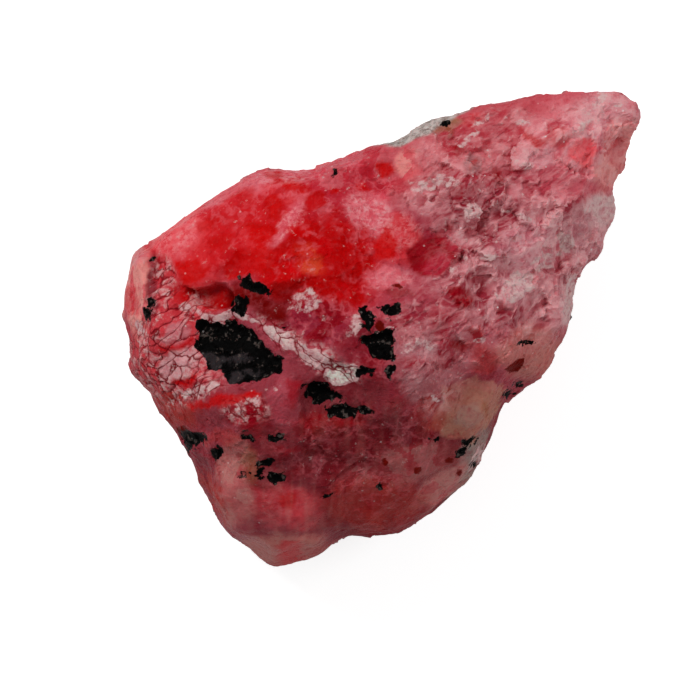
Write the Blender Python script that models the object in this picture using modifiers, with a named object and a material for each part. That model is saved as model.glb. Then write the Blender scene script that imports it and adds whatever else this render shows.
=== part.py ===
"""Rough rhodonite: one broken lump of rose-red stone, lying on the flattest of its breaks.

Sizes are in millimetres until the mesh is made, and in metres after that. The broadest side faces up:
+X runs to its right, +Y to its far edge and +Z away from the surface that the stone lies on. The origin
is on that surface, under the middle of the stone's box.
"""
import math

import bmesh
import bpy
import numpy as np
from mathutils import Euler, Vector, kdtree, noise

MM = 0.001

# The edge of the stone seen from above, from the left corner round by the near end.
OUTLINE = [
    (-18.1, 1.0), (-17.6, 0.0), (-17.6, -0.8), (-17.3, -2.7), (-16.7, -3.4), (-15.9, -4.5),
    (-15.3, -5.6), (-14.5, -6.7), (-13.6, -8.1), (-12.7, -9.4), (-12.3, -10.8), (-11.6, -12.4),
    (-11.2, -13.7), (-10.4, -14.7), (-9.0, -15.7), (-8.3, -16.5), (-7.5, -16.8), (-6.2, -16.4),
    (-4.0, -15.7), (-2.5, -14.6), (-1.0, -14.5), (1.6, -14.4), (2.7, -13.6), (4.0, -12.7),
    (4.9, -11.5), (6.1, -10.2), (7.2, -8.6), (8.1, -7.2), (8.5, -5.9), (9.2, -4.8),
    (10.1, -3.9), (11.2, -3.4), (11.9, -2.1), (12.3, -1.0), (13.1, -0.1), (13.4, 1.2),
    (13.6, 2.5), (13.7, 3.6), (14.4, 4.2), (15.5, 5.3), (15.4, 7.2), (16.4, 8.2),
    (16.4, 9.4), (16.0, 10.1), (16.7, 11.2), (17.3, 12.7), (17.8, 14.5), (18.1, 15.3),
    (17.5, 16.2), (16.3, 16.6), (14.3, 16.7), (12.6, 16.4), (10.7, 16.4), (9.1, 15.8),
    (6.3, 15.3), (3.5, 14.6), (1.4, 13.7), (-0.7, 13.1), (-2.8, 12.2), (-4.9, 11.4),
    (-7.7, 11.1), (-9.1, 10.8), (-11.2, 9.5), (-13.3, 8.4), (-15.4, 7.1), (-16.6, 6.2),
    (-17.5, 5.9), (-17.8, 4.6), (-18.1, 3.0),
]

# Each break is a flat face: a point on it, the way it falls away (degrees from +X) and how steeply.
TOP_BREAKS = {
    "crown": ((0.0, -1.0, 18.2), 75, 5),
    "upper band": ((-2.0, 6.0, 16.2), 92, 25),
    "left shoulder": ((-11.0, 7.0, 13.6), 128, 36),
    "cracked left face": ((-12.0, -1.0, 15.2), 158, 20),
    "left edge": ((-16.6, 2.5, 12.2), 184, 60),
    "lower left edge": ((-14.2, -6.2, 11.0), 212, 58),
    "near slope": ((-2.0, -8.5, 15.0), 268, 28),
    "near left end": ((-8.5, -13.0, 11.4), 236, 44),
    "near end": ((-2.0, -13.2, 11.0), 285, 50),
    "near right slope": ((5.5, -6.5, 13.6), 318, 42),
    "right flank": ((10.5, 1.0, 14.0), 345, 30),
    "right edge": ((13.2, 1.0, 11.0), 338, 62),
    "far right edge": ((15.8, 9.0, 10.6), 348, 55),
    "tip": ((15.0, 14.0, 12.2), 40, 24),
}
BOTTOM_BREAKS = {
    "near rest": ((-2.0, -5.5, 0.0), 262, 13),
    "left rest": ((-8.5, 0.0, 0.0), 176, 17),
    "far rest": ((0.0, 5.5, 0.0), 104, 21),
    "right rest": ((6.0, 0.0, 0.0), 352, 15),
    "far underside": ((0.0, 8.0, 1.6), 98, 50),
    "left underside": ((-13.0, 0.0, 1.6), 190, 58),
    "far left underside": ((-10.0, 6.0, 1.2), 138, 47),
    "near underside": ((-5.0, -12.0, 1.8), 256, 50),
    "near right underside": ((4.8, -7.5, 1.0), 316, 50),
    "right underside": ((9.5, 1.0, 1.2), 356, 46),
    "far right underside": ((9.0, 9.0, 2.6), 44, 33),
}

# Where the top steps down: a path seen from above, the drop on its right, and how far the drop reaches.
LEDGES = {
    "lens lip": ([(-10.6, 4.4), (-11.2, 3.2), (-12.3, 3.0), (-13.6, 2.9), (-14.6, 4.2)], -1.1, 2.2),
    "left crease": ([(-16.0, 6.2), (-15.7, 4.6), (-15.9, 2.7), (-16.4, 0.4)], -0.8, 1.0),
    "shoulder": ([(-13.2, 1.6), (-9.6, 1.0), (-6.2, -1.4), (-3.2, -2.2), (-1.2, -3.4)], 0.7, 2.4),
    "flake shelf": ([(4.6, 6.0), (6.6, 2.6), (9.6, 3.4), (13.2, 5.0)], -0.9, 2.6),
    "band edge": ([(2.0, 8.8), (6.0, 8.0), (9.0, 9.4), (14.6, 9.6)], -0.7, 2.2),
    "peach edge": ([(2.4, -6.6), (4.4, -4.0), (8.6, -2.6)], 0.6, 2.0),
    "near step": ([(-14.2, -7.6), (-9.4, -8.4), (-4.6, -7.8), (0.2, -9.2)], 0.6, 2.6),
}

# Hollows broken out of the top: middle, half length, half width, turn (degrees) and depth.
HOLLOWS = {
    "large oxide pit": ((-9.6, -1.7), 3.2, 1.9, -22, 0.55),
    "middle oxide pit": ((-3.3, -4.9), 2.5, 1.2, -24, 0.45),
    "right oxide pit": ((0.1, -0.6), 1.9, 1.3, 60, 0.50),
    "dark cave": ((7.4, 7.2), 2.1, 1.3, 25, 0.90),
    "red scoop": ((3.2, 5.0), 2.6, 2.2, 30, 0.70),
    "side scoop": ((10.2, 0.4), 2.6, 1.7, 60, 0.60),
}

BLANK_HALF = 3.0
BLANK_VOXEL = 0.55
STONE_VOXEL = 0.42
# The stone is widest at its waist, which rises towards the far edge and waves up and down.
WAIST_HEIGHT = 7.6
WAIST_RISE = 0.22
WAIST_WAVE = 1.2
WAVE_LENGTH = 6.0
WAIST_BAND = 0.9
WALL_UP = math.tan(math.radians(76))
WALL_DOWN = math.tan(math.radians(70))

# Grains break along flat faces that meet in straight edges: size, height and the draw's seed.
GRAINS = [(6.4, 1.0, 5), (3.1, 0.55, 8), (1.6, 0.26, 13)]
GRAIN_TURN = (0.5, 0.35, 0.6)
# Shallow scoops cut into them: size, depth and seed, and the share of the depth that keeps the volume.
SCOOPS = (4.6, 0.55, 11)
SCOOP_BALANCE = 0.4
# A hollow is at its full depth out to the first of these shares of its oval, and gone at the second.
HOLLOW_EDGE = (0.5, 1.1)
# The glassy lens breaks more smoothly: middle, half length, half width, turn (degrees), share kept.
LENS = ((-9.0, 6.4), 7.6, 4.0, 26)
LENS_EDGE = (0.7, 1.2)
LENS_KEEPS = 0.35
# Heights between which the relief grows to its full size, and how much of it is left at the stone's edge.
RELIEF_RANGE = (0.3, 1.6)
RIM_KEEPS = 0.45
RIM_WIDTH = 2.5
TRIANGLES = 9600

COLOUR = (0.52, 0.07, 0.09, 1.0)


def clear_scene():
    for obj in list(bpy.data.objects):
        bpy.data.objects.remove(obj)


def flat_curve(name, points, half_thickness):
    """A flat outline with its two faces filled, as thick as twice half_thickness."""
    curve = bpy.data.curves.new(name, "CURVE")
    curve.dimensions = "2D"
    curve.fill_mode = "BOTH"
    curve.extrude = half_thickness * MM
    spline = curve.splines.new("POLY")
    spline.points.add(len(points) - 1)
    for point, (x, y) in zip(spline.points, points):
        point.co = (x * MM, y * MM, 0.0, 1.0)
    spline.use_cyclic_u = True
    return bpy.data.objects.new(name, curve)


def evaluated_mesh(obj, name):
    """The mesh of obj as its modifiers leave it."""
    bpy.context.view_layer.update()
    graph = bpy.context.evaluated_depsgraph_get()
    mesh = bpy.data.meshes.new_from_object(obj.evaluated_get(graph))
    mesh.name = name
    return mesh


def mesh_from_curve(obj):
    """A mesh object in the curve's place, with its caps welded on."""
    mesh = evaluated_mesh(obj, obj.name)
    work = bmesh.new()
    work.from_mesh(mesh)
    bmesh.ops.remove_doubles(work, verts=work.verts, dist=1e-6)
    bmesh.ops.recalc_face_normals(work, faces=work.faces)
    work.to_mesh(mesh)
    work.free()
    name, place = obj.name, obj.matrix_world.copy()
    bpy.data.objects.remove(obj)
    made = bpy.data.objects.new(name, mesh)
    made.matrix_world = place
    return made


def remesh_evenly(obj, voxel):
    """Gives obj even faces about one voxel wide."""
    remesh = obj.modifiers.new("even faces", "REMESH")
    remesh.mode = "VOXEL"
    remesh.voxel_size = voxel * MM
    mesh = evaluated_mesh(obj, obj.name)
    obj.modifiers.clear()
    obj.data = mesh


def points_of(mesh):
    points = np.empty(len(mesh.vertices) * 3, np.float32)
    mesh.vertices.foreach_get("co", points)
    return points.reshape(-1, 3).astype(float) / MM


def normals_of(mesh):
    normals = np.empty(len(mesh.vertices) * 3, np.float32)
    mesh.vertex_normals.foreach_get("vector", normals)
    return normals.reshape(-1, 3).astype(float)


def set_points(mesh, points):
    mesh.vertices.foreach_set("co", (points * MM).astype(np.float32).ravel())
    mesh.update()


def smooth_step(low, high, values):
    share = np.clip((values - low) / (high - low), 0.0, 1.0)
    return share * share * (3.0 - 2.0 * share)


def path_distance(plan, path, closed=False):
    """How far each point of plan lies from the path, and on which side of it: +1 left, -1 right."""
    corners = np.array(path + path[:1] if closed else path, float)
    nearest = np.full(len(plan), np.inf)
    side = np.ones(len(plan))
    for start, end in zip(corners[:-1], corners[1:]):
        along = end - start
        offset = plan - start
        share = np.clip(offset @ along / (along @ along), 0.0, 1.0)
        away = np.linalg.norm(offset - share[:, None] * along, axis=1)
        turn = along[0] * offset[:, 1] - along[1] * offset[:, 0]
        closer = away < nearest
        nearest = np.where(closer, away, nearest)
        side = np.where(closer, np.sign(turn), side)
    return nearest, side


def break_height(plan, through, bearing, slope):
    """The height of a flat break over each point of plan, falling towards bearing."""
    x, y, z = through
    heading = np.array([math.cos(math.radians(bearing)), math.sin(math.radians(bearing))])
    return z - ((plan - (x, y)) @ heading) * math.tan(math.radians(slope))


def ledge_height(plan, path, drop, reach):
    """A step along path: full just beside it on the side that drops, and gone at its reach."""
    away, side = path_distance(plan, path)
    low_side = side < 0 if drop > 0 else side > 0
    return np.where(low_side, -abs(drop) * (1.0 - smooth_step(0.0, reach, away)), 0.0)


def oval_distance(plan, middle, half_length, half_width, turn):
    """0 at the middle of a turned oval and 1 on its edge."""
    angle = math.radians(turn)
    offset = plan - middle
    along = (offset[:, 0] * math.cos(angle) + offset[:, 1] * math.sin(angle)) / half_length
    across = (offset[:, 1] * math.cos(angle) - offset[:, 0] * math.sin(angle)) / half_width
    return np.hypot(along, across)


def hollow_height(plan, middle, half_length, half_width, turn, depth):
    away = oval_distance(plan, middle, half_length, half_width, turn)
    return -depth * (1.0 - smooth_step(*HOLLOW_EDGE, away))


def waist_height(plan):
    """The height at which the stone is widest: higher at the far edge, and never quite level."""
    wave = np.array([noise.noise(Vector((x, y, 0.0)) / WAVE_LENGTH) for x, y in plan])
    return WAIST_HEIGHT + WAIST_RISE * plan[:, 1] + WAIST_WAVE * wave


def shape_lump(mesh):
    """Turns the flat blank into the lump, with its breaks, ledges and hollows."""
    points = points_of(mesh)
    plan = points[:, :2]
    inward, _ = path_distance(plan, OUTLINE, closed=True)
    waist = waist_height(plan)
    top = waist + WAIST_BAND / 2 + inward * WALL_UP
    for fracture in TOP_BREAKS.values():
        top = np.minimum(top, break_height(plan, *fracture))
    for ledge in LEDGES.values():
        top += ledge_height(plan, *ledge)
    for hollow in HOLLOWS.values():
        top += hollow_height(plan, *hollow)
    bottom = waist - WAIST_BAND / 2 - inward * WALL_DOWN
    for through, bearing, slope in BOTTOM_BREAKS.values():
        bottom = np.maximum(bottom, break_height(plan, through, bearing, -slope))
    bottom = np.clip(bottom, 0.0, waist - WAIST_BAND / 2)
    top = np.maximum(top, waist + WAIST_BAND / 2)
    share = np.clip(points[:, 2] / BLANK_HALF, -1.0, 1.0) * 0.5 + 0.5
    points[:, 2] = bottom + (top - bottom) * share
    set_points(mesh, points)


def grain_relief(points, size, height, seed):
    """Flat faces from a turned grid with random heights at its corners. Each sixth of a cube is one face."""
    turn = np.array(Euler(GRAIN_TURN).to_matrix())
    places = points @ turn.T / size
    draw = np.random.RandomState(seed)
    low = np.floor(places.min(axis=0)).astype(int)
    corner = np.floor(places).astype(int)
    heights = draw.uniform(-height, height, corner.max(axis=0) - low + 2)
    inside = places - corner
    order = np.argsort(-inside, axis=1)
    parts = np.take_along_axis(inside, order, axis=1)
    corner -= low
    relief = (1.0 - parts[:, 0]) * heights[tuple(corner.T)]
    rows = np.arange(len(points))
    for step in range(3):
        corner[rows, order[:, step]] += 1
        rest = parts[:, step + 1] if step < 2 else 0.0
        relief += (parts[:, step] - rest) * heights[tuple(corner.T)]
    return relief


def scoop_relief(points, size, depth, seed):
    """Round scoops that meet in sharp ridges, deepest in the middle of each."""
    draw = np.random.RandomState(seed)
    low, high = points.min(axis=0) - size, points.max(axis=0) + size
    middles = draw.uniform(low, high, (int(np.prod(high - low) / size ** 3), 3))
    tree = kdtree.KDTree(len(middles))
    for number, middle in enumerate(middles):
        tree.insert(middle, number)
    tree.balance()
    away = np.array([tree.find(point)[2] for point in points]) / size
    return depth * (np.clip(away, 0.0, 1.0) ** 2 - SCOOP_BALANCE)


def break_surface(mesh):
    """Breaks the surface into grains and scoops. The break that the stone rests on stays flat."""
    points = points_of(mesh)
    normals = normals_of(mesh)
    plan = points[:, :2]
    inward, _ = path_distance(plan, OUTLINE, closed=True)
    share = smooth_step(*RELIEF_RANGE, points[:, 2])
    share *= RIM_KEEPS + (1.0 - RIM_KEEPS) * smooth_step(0.0, RIM_WIDTH, inward)
    in_lens = 1.0 - smooth_step(*LENS_EDGE, oval_distance(plan, *LENS))
    in_lens *= smooth_step(0.0, 0.6, normals[:, 2])
    share *= 1.0 - (1.0 - LENS_KEEPS) * in_lens
    relief = scoop_relief(points, *SCOOPS)
    for grain in GRAINS:
        relief += grain_relief(points, *grain)
    points += normals * (relief * share)[:, None]
    set_points(mesh, points)


def settle_on_origin(mesh):
    """Levels the break that the stone rests on and puts the origin under the middle of its box."""
    points = points_of(mesh)
    points[:, 2] = np.where(points[:, 2] < RELIEF_RANGE[0] / 2, 0.0, points[:, 2])
    middle = (points.min(axis=0) + points.max(axis=0)) / 2
    points -= (middle[0], middle[1], 0.0)
    set_points(mesh, points)


def stone_material():
    material = bpy.data.materials.new("rhodonite")
    material.use_nodes = True
    surface = material.node_tree.nodes["Principled BSDF"]
    surface.inputs["Base Color"].default_value = COLOUR
    surface.inputs["Roughness"].default_value = 0.38
    surface.inputs["Metallic"].default_value = 0.0
    return material


def make_stone(collection):
    blank = mesh_from_curve(flat_curve("rhodonite", OUTLINE, BLANK_HALF))
    collection.objects.link(blank)
    remesh_evenly(blank, BLANK_VOXEL)
    shape_lump(blank.data)
    remesh_evenly(blank, STONE_VOXEL)
    break_surface(blank.data)
    settle_on_origin(blank.data)
    blank.data.materials.append(stone_material())
    faces = blank.modifiers.new("broken facets", "DECIMATE")
    faces.ratio = TRIANGLES / sum(len(face.vertices) - 2 for face in blank.data.polygons)
    faces.use_collapse_triangulate = True
    return blank


def main():
    clear_scene()
    collection = bpy.data.collections.new("rough rhodonite")
    bpy.context.scene.collection.children.link(collection)
    make_stone(collection)


main()
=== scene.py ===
import math

import bmesh
import bpy
import numpy as np
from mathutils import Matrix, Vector, noise


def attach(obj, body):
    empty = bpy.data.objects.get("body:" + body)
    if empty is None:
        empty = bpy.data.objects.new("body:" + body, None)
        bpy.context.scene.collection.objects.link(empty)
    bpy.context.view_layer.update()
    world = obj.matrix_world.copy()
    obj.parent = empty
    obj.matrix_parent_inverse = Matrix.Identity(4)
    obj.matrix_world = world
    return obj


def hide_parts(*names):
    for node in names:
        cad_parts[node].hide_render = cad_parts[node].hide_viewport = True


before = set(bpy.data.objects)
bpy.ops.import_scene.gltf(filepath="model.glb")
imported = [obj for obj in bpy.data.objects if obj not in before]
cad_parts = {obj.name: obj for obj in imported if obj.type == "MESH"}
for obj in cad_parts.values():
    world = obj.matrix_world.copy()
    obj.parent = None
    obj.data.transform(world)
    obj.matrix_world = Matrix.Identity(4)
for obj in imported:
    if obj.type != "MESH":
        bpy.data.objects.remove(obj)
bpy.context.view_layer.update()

mm = 0.001

# The photo looks straight down on the stone through a long lens.
photo = {
    "lens": 200.0,
    "sensor": 36.0,
    "width": 48.8,                # mm of the stone's level across the picture
    "middle": (-2.1, -1.25),      # what the picture's middle looks at, mm
    "level": 8.0,                 # the height of the stone's widest line, mm
    "markShift": -0.27,           # mm from the picture's level to the marks listed below
}
photoDistance = photo["width"] * photo["lens"] / photo["sensor"]


# Small helpers for node trees.

def addNode(tree, kind, inputs=None, **settings):
    made = tree.nodes.new(kind)
    for name, value in settings.items():
        setattr(made, name, value)
    for socket, value in (inputs or {}).items():
        feed(tree, made.inputs[socket], value)
    return made


def feed(tree, socket, value):
    if isinstance(value, bpy.types.NodeSocket):
        tree.links.new(value, socket)
    else:
        socket.default_value = value


def calc(tree, operation, first, second=None, third=None, clamp=False):
    made = addNode(tree, "ShaderNodeMath", operation=operation, use_clamp=clamp)
    for socket, value in zip(made.inputs, (first, second, third)):
        if value is not None:
            feed(tree, socket, value)
    return made.outputs[0]


def vectorCalc(tree, operation, first, second=None, scale=None):
    made = addNode(tree, "ShaderNodeVectorMath", operation=operation)
    feed(tree, made.inputs[0], first)
    if second is not None:
        feed(tree, made.inputs[1], second)
    if scale is not None:
        feed(tree, made.inputs["Scale"], scale)
    return made.outputs["Value" if operation == "DOT_PRODUCT" else "Vector"]


def ramp(tree, value, low, high, toLow=0.0, toHigh=1.0):
    made = addNode(tree, "ShaderNodeMapRange", interpolation_type="SMOOTHSTEP")
    for socket, given in zip(made.inputs, (value, low, high, toLow, toHigh)):
        feed(tree, socket, given)
    return made.outputs["Result"]


def mixColour(tree, share, first, second, blend="MIX"):
    made = addNode(tree, "ShaderNodeMix", data_type="RGBA", blend_type=blend)
    feed(tree, made.inputs[0], share)
    feed(tree, made.inputs[6], first)
    feed(tree, made.inputs[7], second)
    return made.outputs[2]


def bentPlace(tree, place, scale, amount, detail=2.0):
    # places pushed about by a soft noise, so that no pattern runs straight
    push = addNode(tree, "ShaderNodeTexNoise", {"Vector": place, "Scale": scale, "Detail": detail})
    push = vectorCalc(tree, "SUBTRACT", push.outputs["Color"], (0.5, 0.5, 0.5))
    return vectorCalc(tree, "ADD", place, vectorCalc(tree, "SCALE", push, scale=amount))


def softNoise(tree, place, scale, detail, roughness=0.5):
    return addNode(tree, "ShaderNodeTexNoise", {
        "Vector": place, "Scale": scale, "Detail": detail, "Roughness": roughness}).outputs["Fac"]


def turnedAbout(tree, place, angle):
    made = addNode(tree, "ShaderNodeVectorRotate", {"Vector": place, "Angle": angle},
                   rotation_type="Z_AXIS")
    return made.outputs[0]


plateRun = {"turn": 0.75, "leftTurn": -0.6, "leftOf": -10.4, "stretch": (0.48, 1.35, 1.0),
            "bendScale": 0.8, "bend": 1.3}


def platePlace(tree, place, size):
    # long cracked plates lie along one direction, and along another left of the oxide
    bent = bentPlace(tree, place, plateRun["bendScale"], plateRun["bend"])
    sides = addNode(tree, "ShaderNodeSeparateXYZ", {"Vector": place})
    isLeft = calc(tree, "LESS_THAN", sides.outputs["X"], plateRun["leftOf"])
    change = plateRun["leftTurn"] - plateRun["turn"]
    turned = turnedAbout(tree, bent, calc(tree, "MULTIPLY_ADD", isLeft, change, plateRun["turn"]))
    long = vectorCalc(tree, "MULTIPLY", turned, plateRun["stretch"])
    return vectorCalc(tree, "SCALE", long, scale=calc(tree, "DIVIDE", 1.0, size))


def groupSockets(tree, inputs, outputs):
    for name, kind, value in inputs:
        made = tree.interface.new_socket(name, in_out="INPUT", socket_type=kind)
        if value is not None:
            made.default_value = value
    for name, kind in outputs:
        tree.interface.new_socket(name, in_out="OUTPUT", socket_type=kind)
    start = tree.nodes.new("NodeGroupInput")
    end = tree.nodes.new("NodeGroupOutput")
    return start.outputs, end.inputs


# Where things are on the stone.

def displayTint(red, green, blue):
    # a tint as it looks on a screen, 0 to 255, made linear
    return np.array([(v / 255.0) ** 2.2 for v in (red, green, blue)])


screenTints = {
    "vivid": (204, 0, 2), "glowing": (212, 10, 18), "scarlet": (194, 0, 14), "deep": (146, 0, 0),
    "garnet": (118, 0, 4), "crimson": (158, 0, 30), "wine": (136, 20, 38), "coral": (214, 62, 68),
    "rosy": (238, 92, 98), "blush": (202, 86, 94), "petal": (226, 112, 122), "rose": (182, 78, 90),
    "dusty": (206, 128, 133), "rosewood": (152, 34, 54), "cherry": (188, 46, 66),
    "lilac": (178, 116, 122), "mauve": (128, 46, 54), "brick": (176, 54, 48),
    "salmon": (204, 124, 116), "orange": (220, 84, 52), "shell": (238, 152, 144),
    "pale": (230, 174, 176), "pearl": (222, 184, 182), "frosty": (226, 202, 198),
    "haze": (200, 128, 122), "peach": (192, 134, 112), "ochre": (160, 102, 72),
    "greyed": (158, 138, 130),
}
tints = {name: displayTint(*values) for name, values in screenTints.items()}

# Broad tints first and small ones over them: middle, half size (mm), turn (degrees), tint, strength.
zones = {
    "lowerHalf": ((-1.5, -8.5), (13.0, 7.0), 0, "mauve", 1.0),
    "rightHalf": ((11.0, 5.0), (8.0, 10.0), 30, "rose", 0.95),
    "topBand": ((1.0, 12.2), (15.0, 3.6), 15, "blush", 0.95),
    "tipBroad": ((14.2, 12.8), (5.2, 4.0), 30, "petal", 0.75),
    "lens": ((-11.3, 6.8), (7.0, 3.7), 28, "coral", 0.95),
    "lensCore": ((-9.9, 6.6), (4.2, 2.2), 30, "glowing", 0.6),
    "lensCorner": ((-14.5, 7.0), (2.3, 1.9), 20, "rosy", 0.9),
    "lensTop": ((-9.9, 10.2), (4.8, 0.8), 24, "petal", 0.6),
    "lensEdge": ((-5.6, 11.2), (4.4, 0.9), 14, "petal", 0.8),
    "middle": ((-3.9, 4.6), (4.8, 3.8), 0, "scarlet", 1.0),
    "middleLeft": ((-6.9, 3.9), (1.8, 1.6), 0, "glowing", 0.85),
    "middleStreak": ((-6.4, 7.4), (2.0, 0.6), 56, "petal", 0.7),
    "middleOrange": ((-5.0, 4.9), (1.1, 1.2), 0, "orange", 0.65),
    "middleCrimson": ((-5.2, 7.0), (1.0, 0.5), 0, "glowing", 0.8),
    "middleFoot": ((-4.3, 0.4), (2.8, 1.6), -15, "rosewood", 0.9),
    # painted shade: a dark garnet where shadow lies beside the black oxide
    "darkFoot": ((-7.8, 1.2), (1.4, 1.1), -20, "garnet", 1.0),
    "spotFourth": ((-6.1, 9.9), (1.2, 0.5), -5, "vivid", 0.9),
    "patchHigh": ((-0.6, 8.0), (2.1, 1.35), -35, "petal", 1.0),
    "patchCoral": ((1.5, 6.3), (1.7, 1.8), -30, "coral", 0.9),
    "patchLow": ((0.4, 3.4), (1.8, 0.9), 5, "petal", 0.9),
    "patchFoot": ((1.3, 2.4), (1.1, 0.4), 0, "deep", 0.6),
    "bandSalmon": ((2.0, 11.6), (0.9, 1.1), 0, "shell", 0.8),
    "bandOrange": ((6.4, 11.4), (0.8, 0.7), 0, "garnet", 1.0),
    "bandCoral": ((12.5, 13.3), (1.2, 0.9), 0, "coral", 0.8),
    "bandPale": ((10.9, 11.8), (1.4, 0.8), 0, "pale", 0.85),
    "rightWine": ((5.4, 7.8), (3.2, 2.0), 15, "rosewood", 0.85),
    "pocketSmall": ((5.5, -1.3), (0.75, 0.4), 0, "crimson", 0.95),
    "plates": ((9.5, 3.0), (1.7, 1.1), 20, "pale", 0.9),
    "rightPale": ((11.1, 5.9), (3.4, 2.0), 20, "pale", 0.9),
    "rightGrainy": ((14.6, 5.9), (1.6, 2.1), 0, "pale", 0.75),
    "rightTooth": ((15.4, 8.3), (1.4, 1.4), 20, "frosty", 0.7),
    "rightLow": ((11.8, 1.7), (1.5, 2.1), 0, "dusty", 0.85),
    "rightRim": ((13.2, 1.8), (0.6, 2.1), 0, "frosty", 0.8),
    "tip": ((15.8, 14.7), (2.6, 2.0), 0, "pale", 0.75),
    "tipEdge": ((16.4, 12.3), (1.2, 2.8), -20, "shell", 0.85),
    "middlePink": ((2.8, 0.4), (1.8, 1.3), 0, "rosewood", 0.6),
    "middleLilac": ((2.7, -1.4), (1.6, 0.6), 5, "lilac", 0.9),
    "crystals": ((3.5, -4.4), (2.8, 2.0), 0, "rosewood", 0.8),
    "rightFoot": ((10.5, -1.7), (2.4, 2.0), 0, "salmon", 0.95),
    "footBrick": ((7.3, -2.0), (1.3, 1.0), 0, "brick", 0.6),
    "peachLeft": ((3.4, -5.8), (1.0, 1.5), 0, "brick", 0.5),
    "greyRim": ((6.1, -9.3), (2.9, 0.85), 60, "greyed", 0.95),
    "underFlake": ((-1.2, -1.4), (1.4, 2.4), 0, "wine", 0.8),
    "underBlack": ((-3.7, -6.6), (2.6, 1.1), 5, "garnet", 0.6),
    "lowStreak": ((4.2, -11.1), (2.4, 1.0), 40, "haze", 0.9),
    "lowHaze": ((1.6, -9.6), (4.6, 1.4), 14, "haze", 0.35),
    "lowPink": ((-0.3, -12.3), (3.8, 2.0), 0, "brick", 0.65),
    "lowOrange": ((-0.3, -13.3), (0.5, 0.5), 0, "brick", 0.8),
    "crackedFace": ((-14.4, -1.4), (3.6, 4.6), 0, "coral", 0.75),
    "crackedFoot": ((-14.2, -5.7), (1.8, 1.2), -35, "brick", 0.9),
    "mauveStreak": ((-6.7, -5.2), (1.2, 2.2), 0, "rose", 0.85),
    "underPit": ((-9.1, -5.9), (1.9, 1.5), -10, "crimson", 0.9),
    "redStep": ((-11.1, -7.5), (1.7, 0.8), 15, "rose", 0.8),
    "mauveLeft": ((-10.2, -9.2), (1.2, 1.8), -10, "haze", 0.5),
    "endYellow": ((-9.0, -9.8), (1.0, 1.6), 0, "ochre", 0.5),
    "endGrey": ((-10.2, -11.4), (1.3, 2.7), 5, "haze", 0.8),
    "endRim": ((-11.5, -12.0), (2.6, 0.5), -62, "brick", 0.75),
    "endRed": ((-6.6, -12.3), (2.7, 1.4), -8, "rosy", 0.6),
    "endCore": ((-6.3, -12.4), (0.7, 0.8), 0, "scarlet", 0.7),
    "endFoot": ((-7.3, -15.5), (3.6, 1.4), 8, "salmon", 0.9),
    "endPink": ((-6.3, -15.6), (1.0, 0.9), 0, "coral", 0.8),
    "column": ((-17.2, 3.1), (1.0, 3.5), 4, "shell", 1.0),
    "columnSeam": ((-16.0, 2.7), (0.45, 2.5), 2, "mauve", 0.9),
    "goldSpot": ((4.6, 14.0), (1.1, 0.5), 20, "ochre", 1.0),
    "lip": ((-12.2, 3.3), (2.2, 0.35), 6, "vivid", 0.5),
    "trench": ((-12.1, 2.2), (2.4, 0.95), -3, "scarlet", 1.0),
    "trenchEnd": ((-9.3, 2.2), (1.5, 1.2), 0, "garnet", 1.0),
}

pureTints = ("vivid", "scarlet", "deep", "crimson", "garnet", "wine", "mauve", "rosy")
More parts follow.
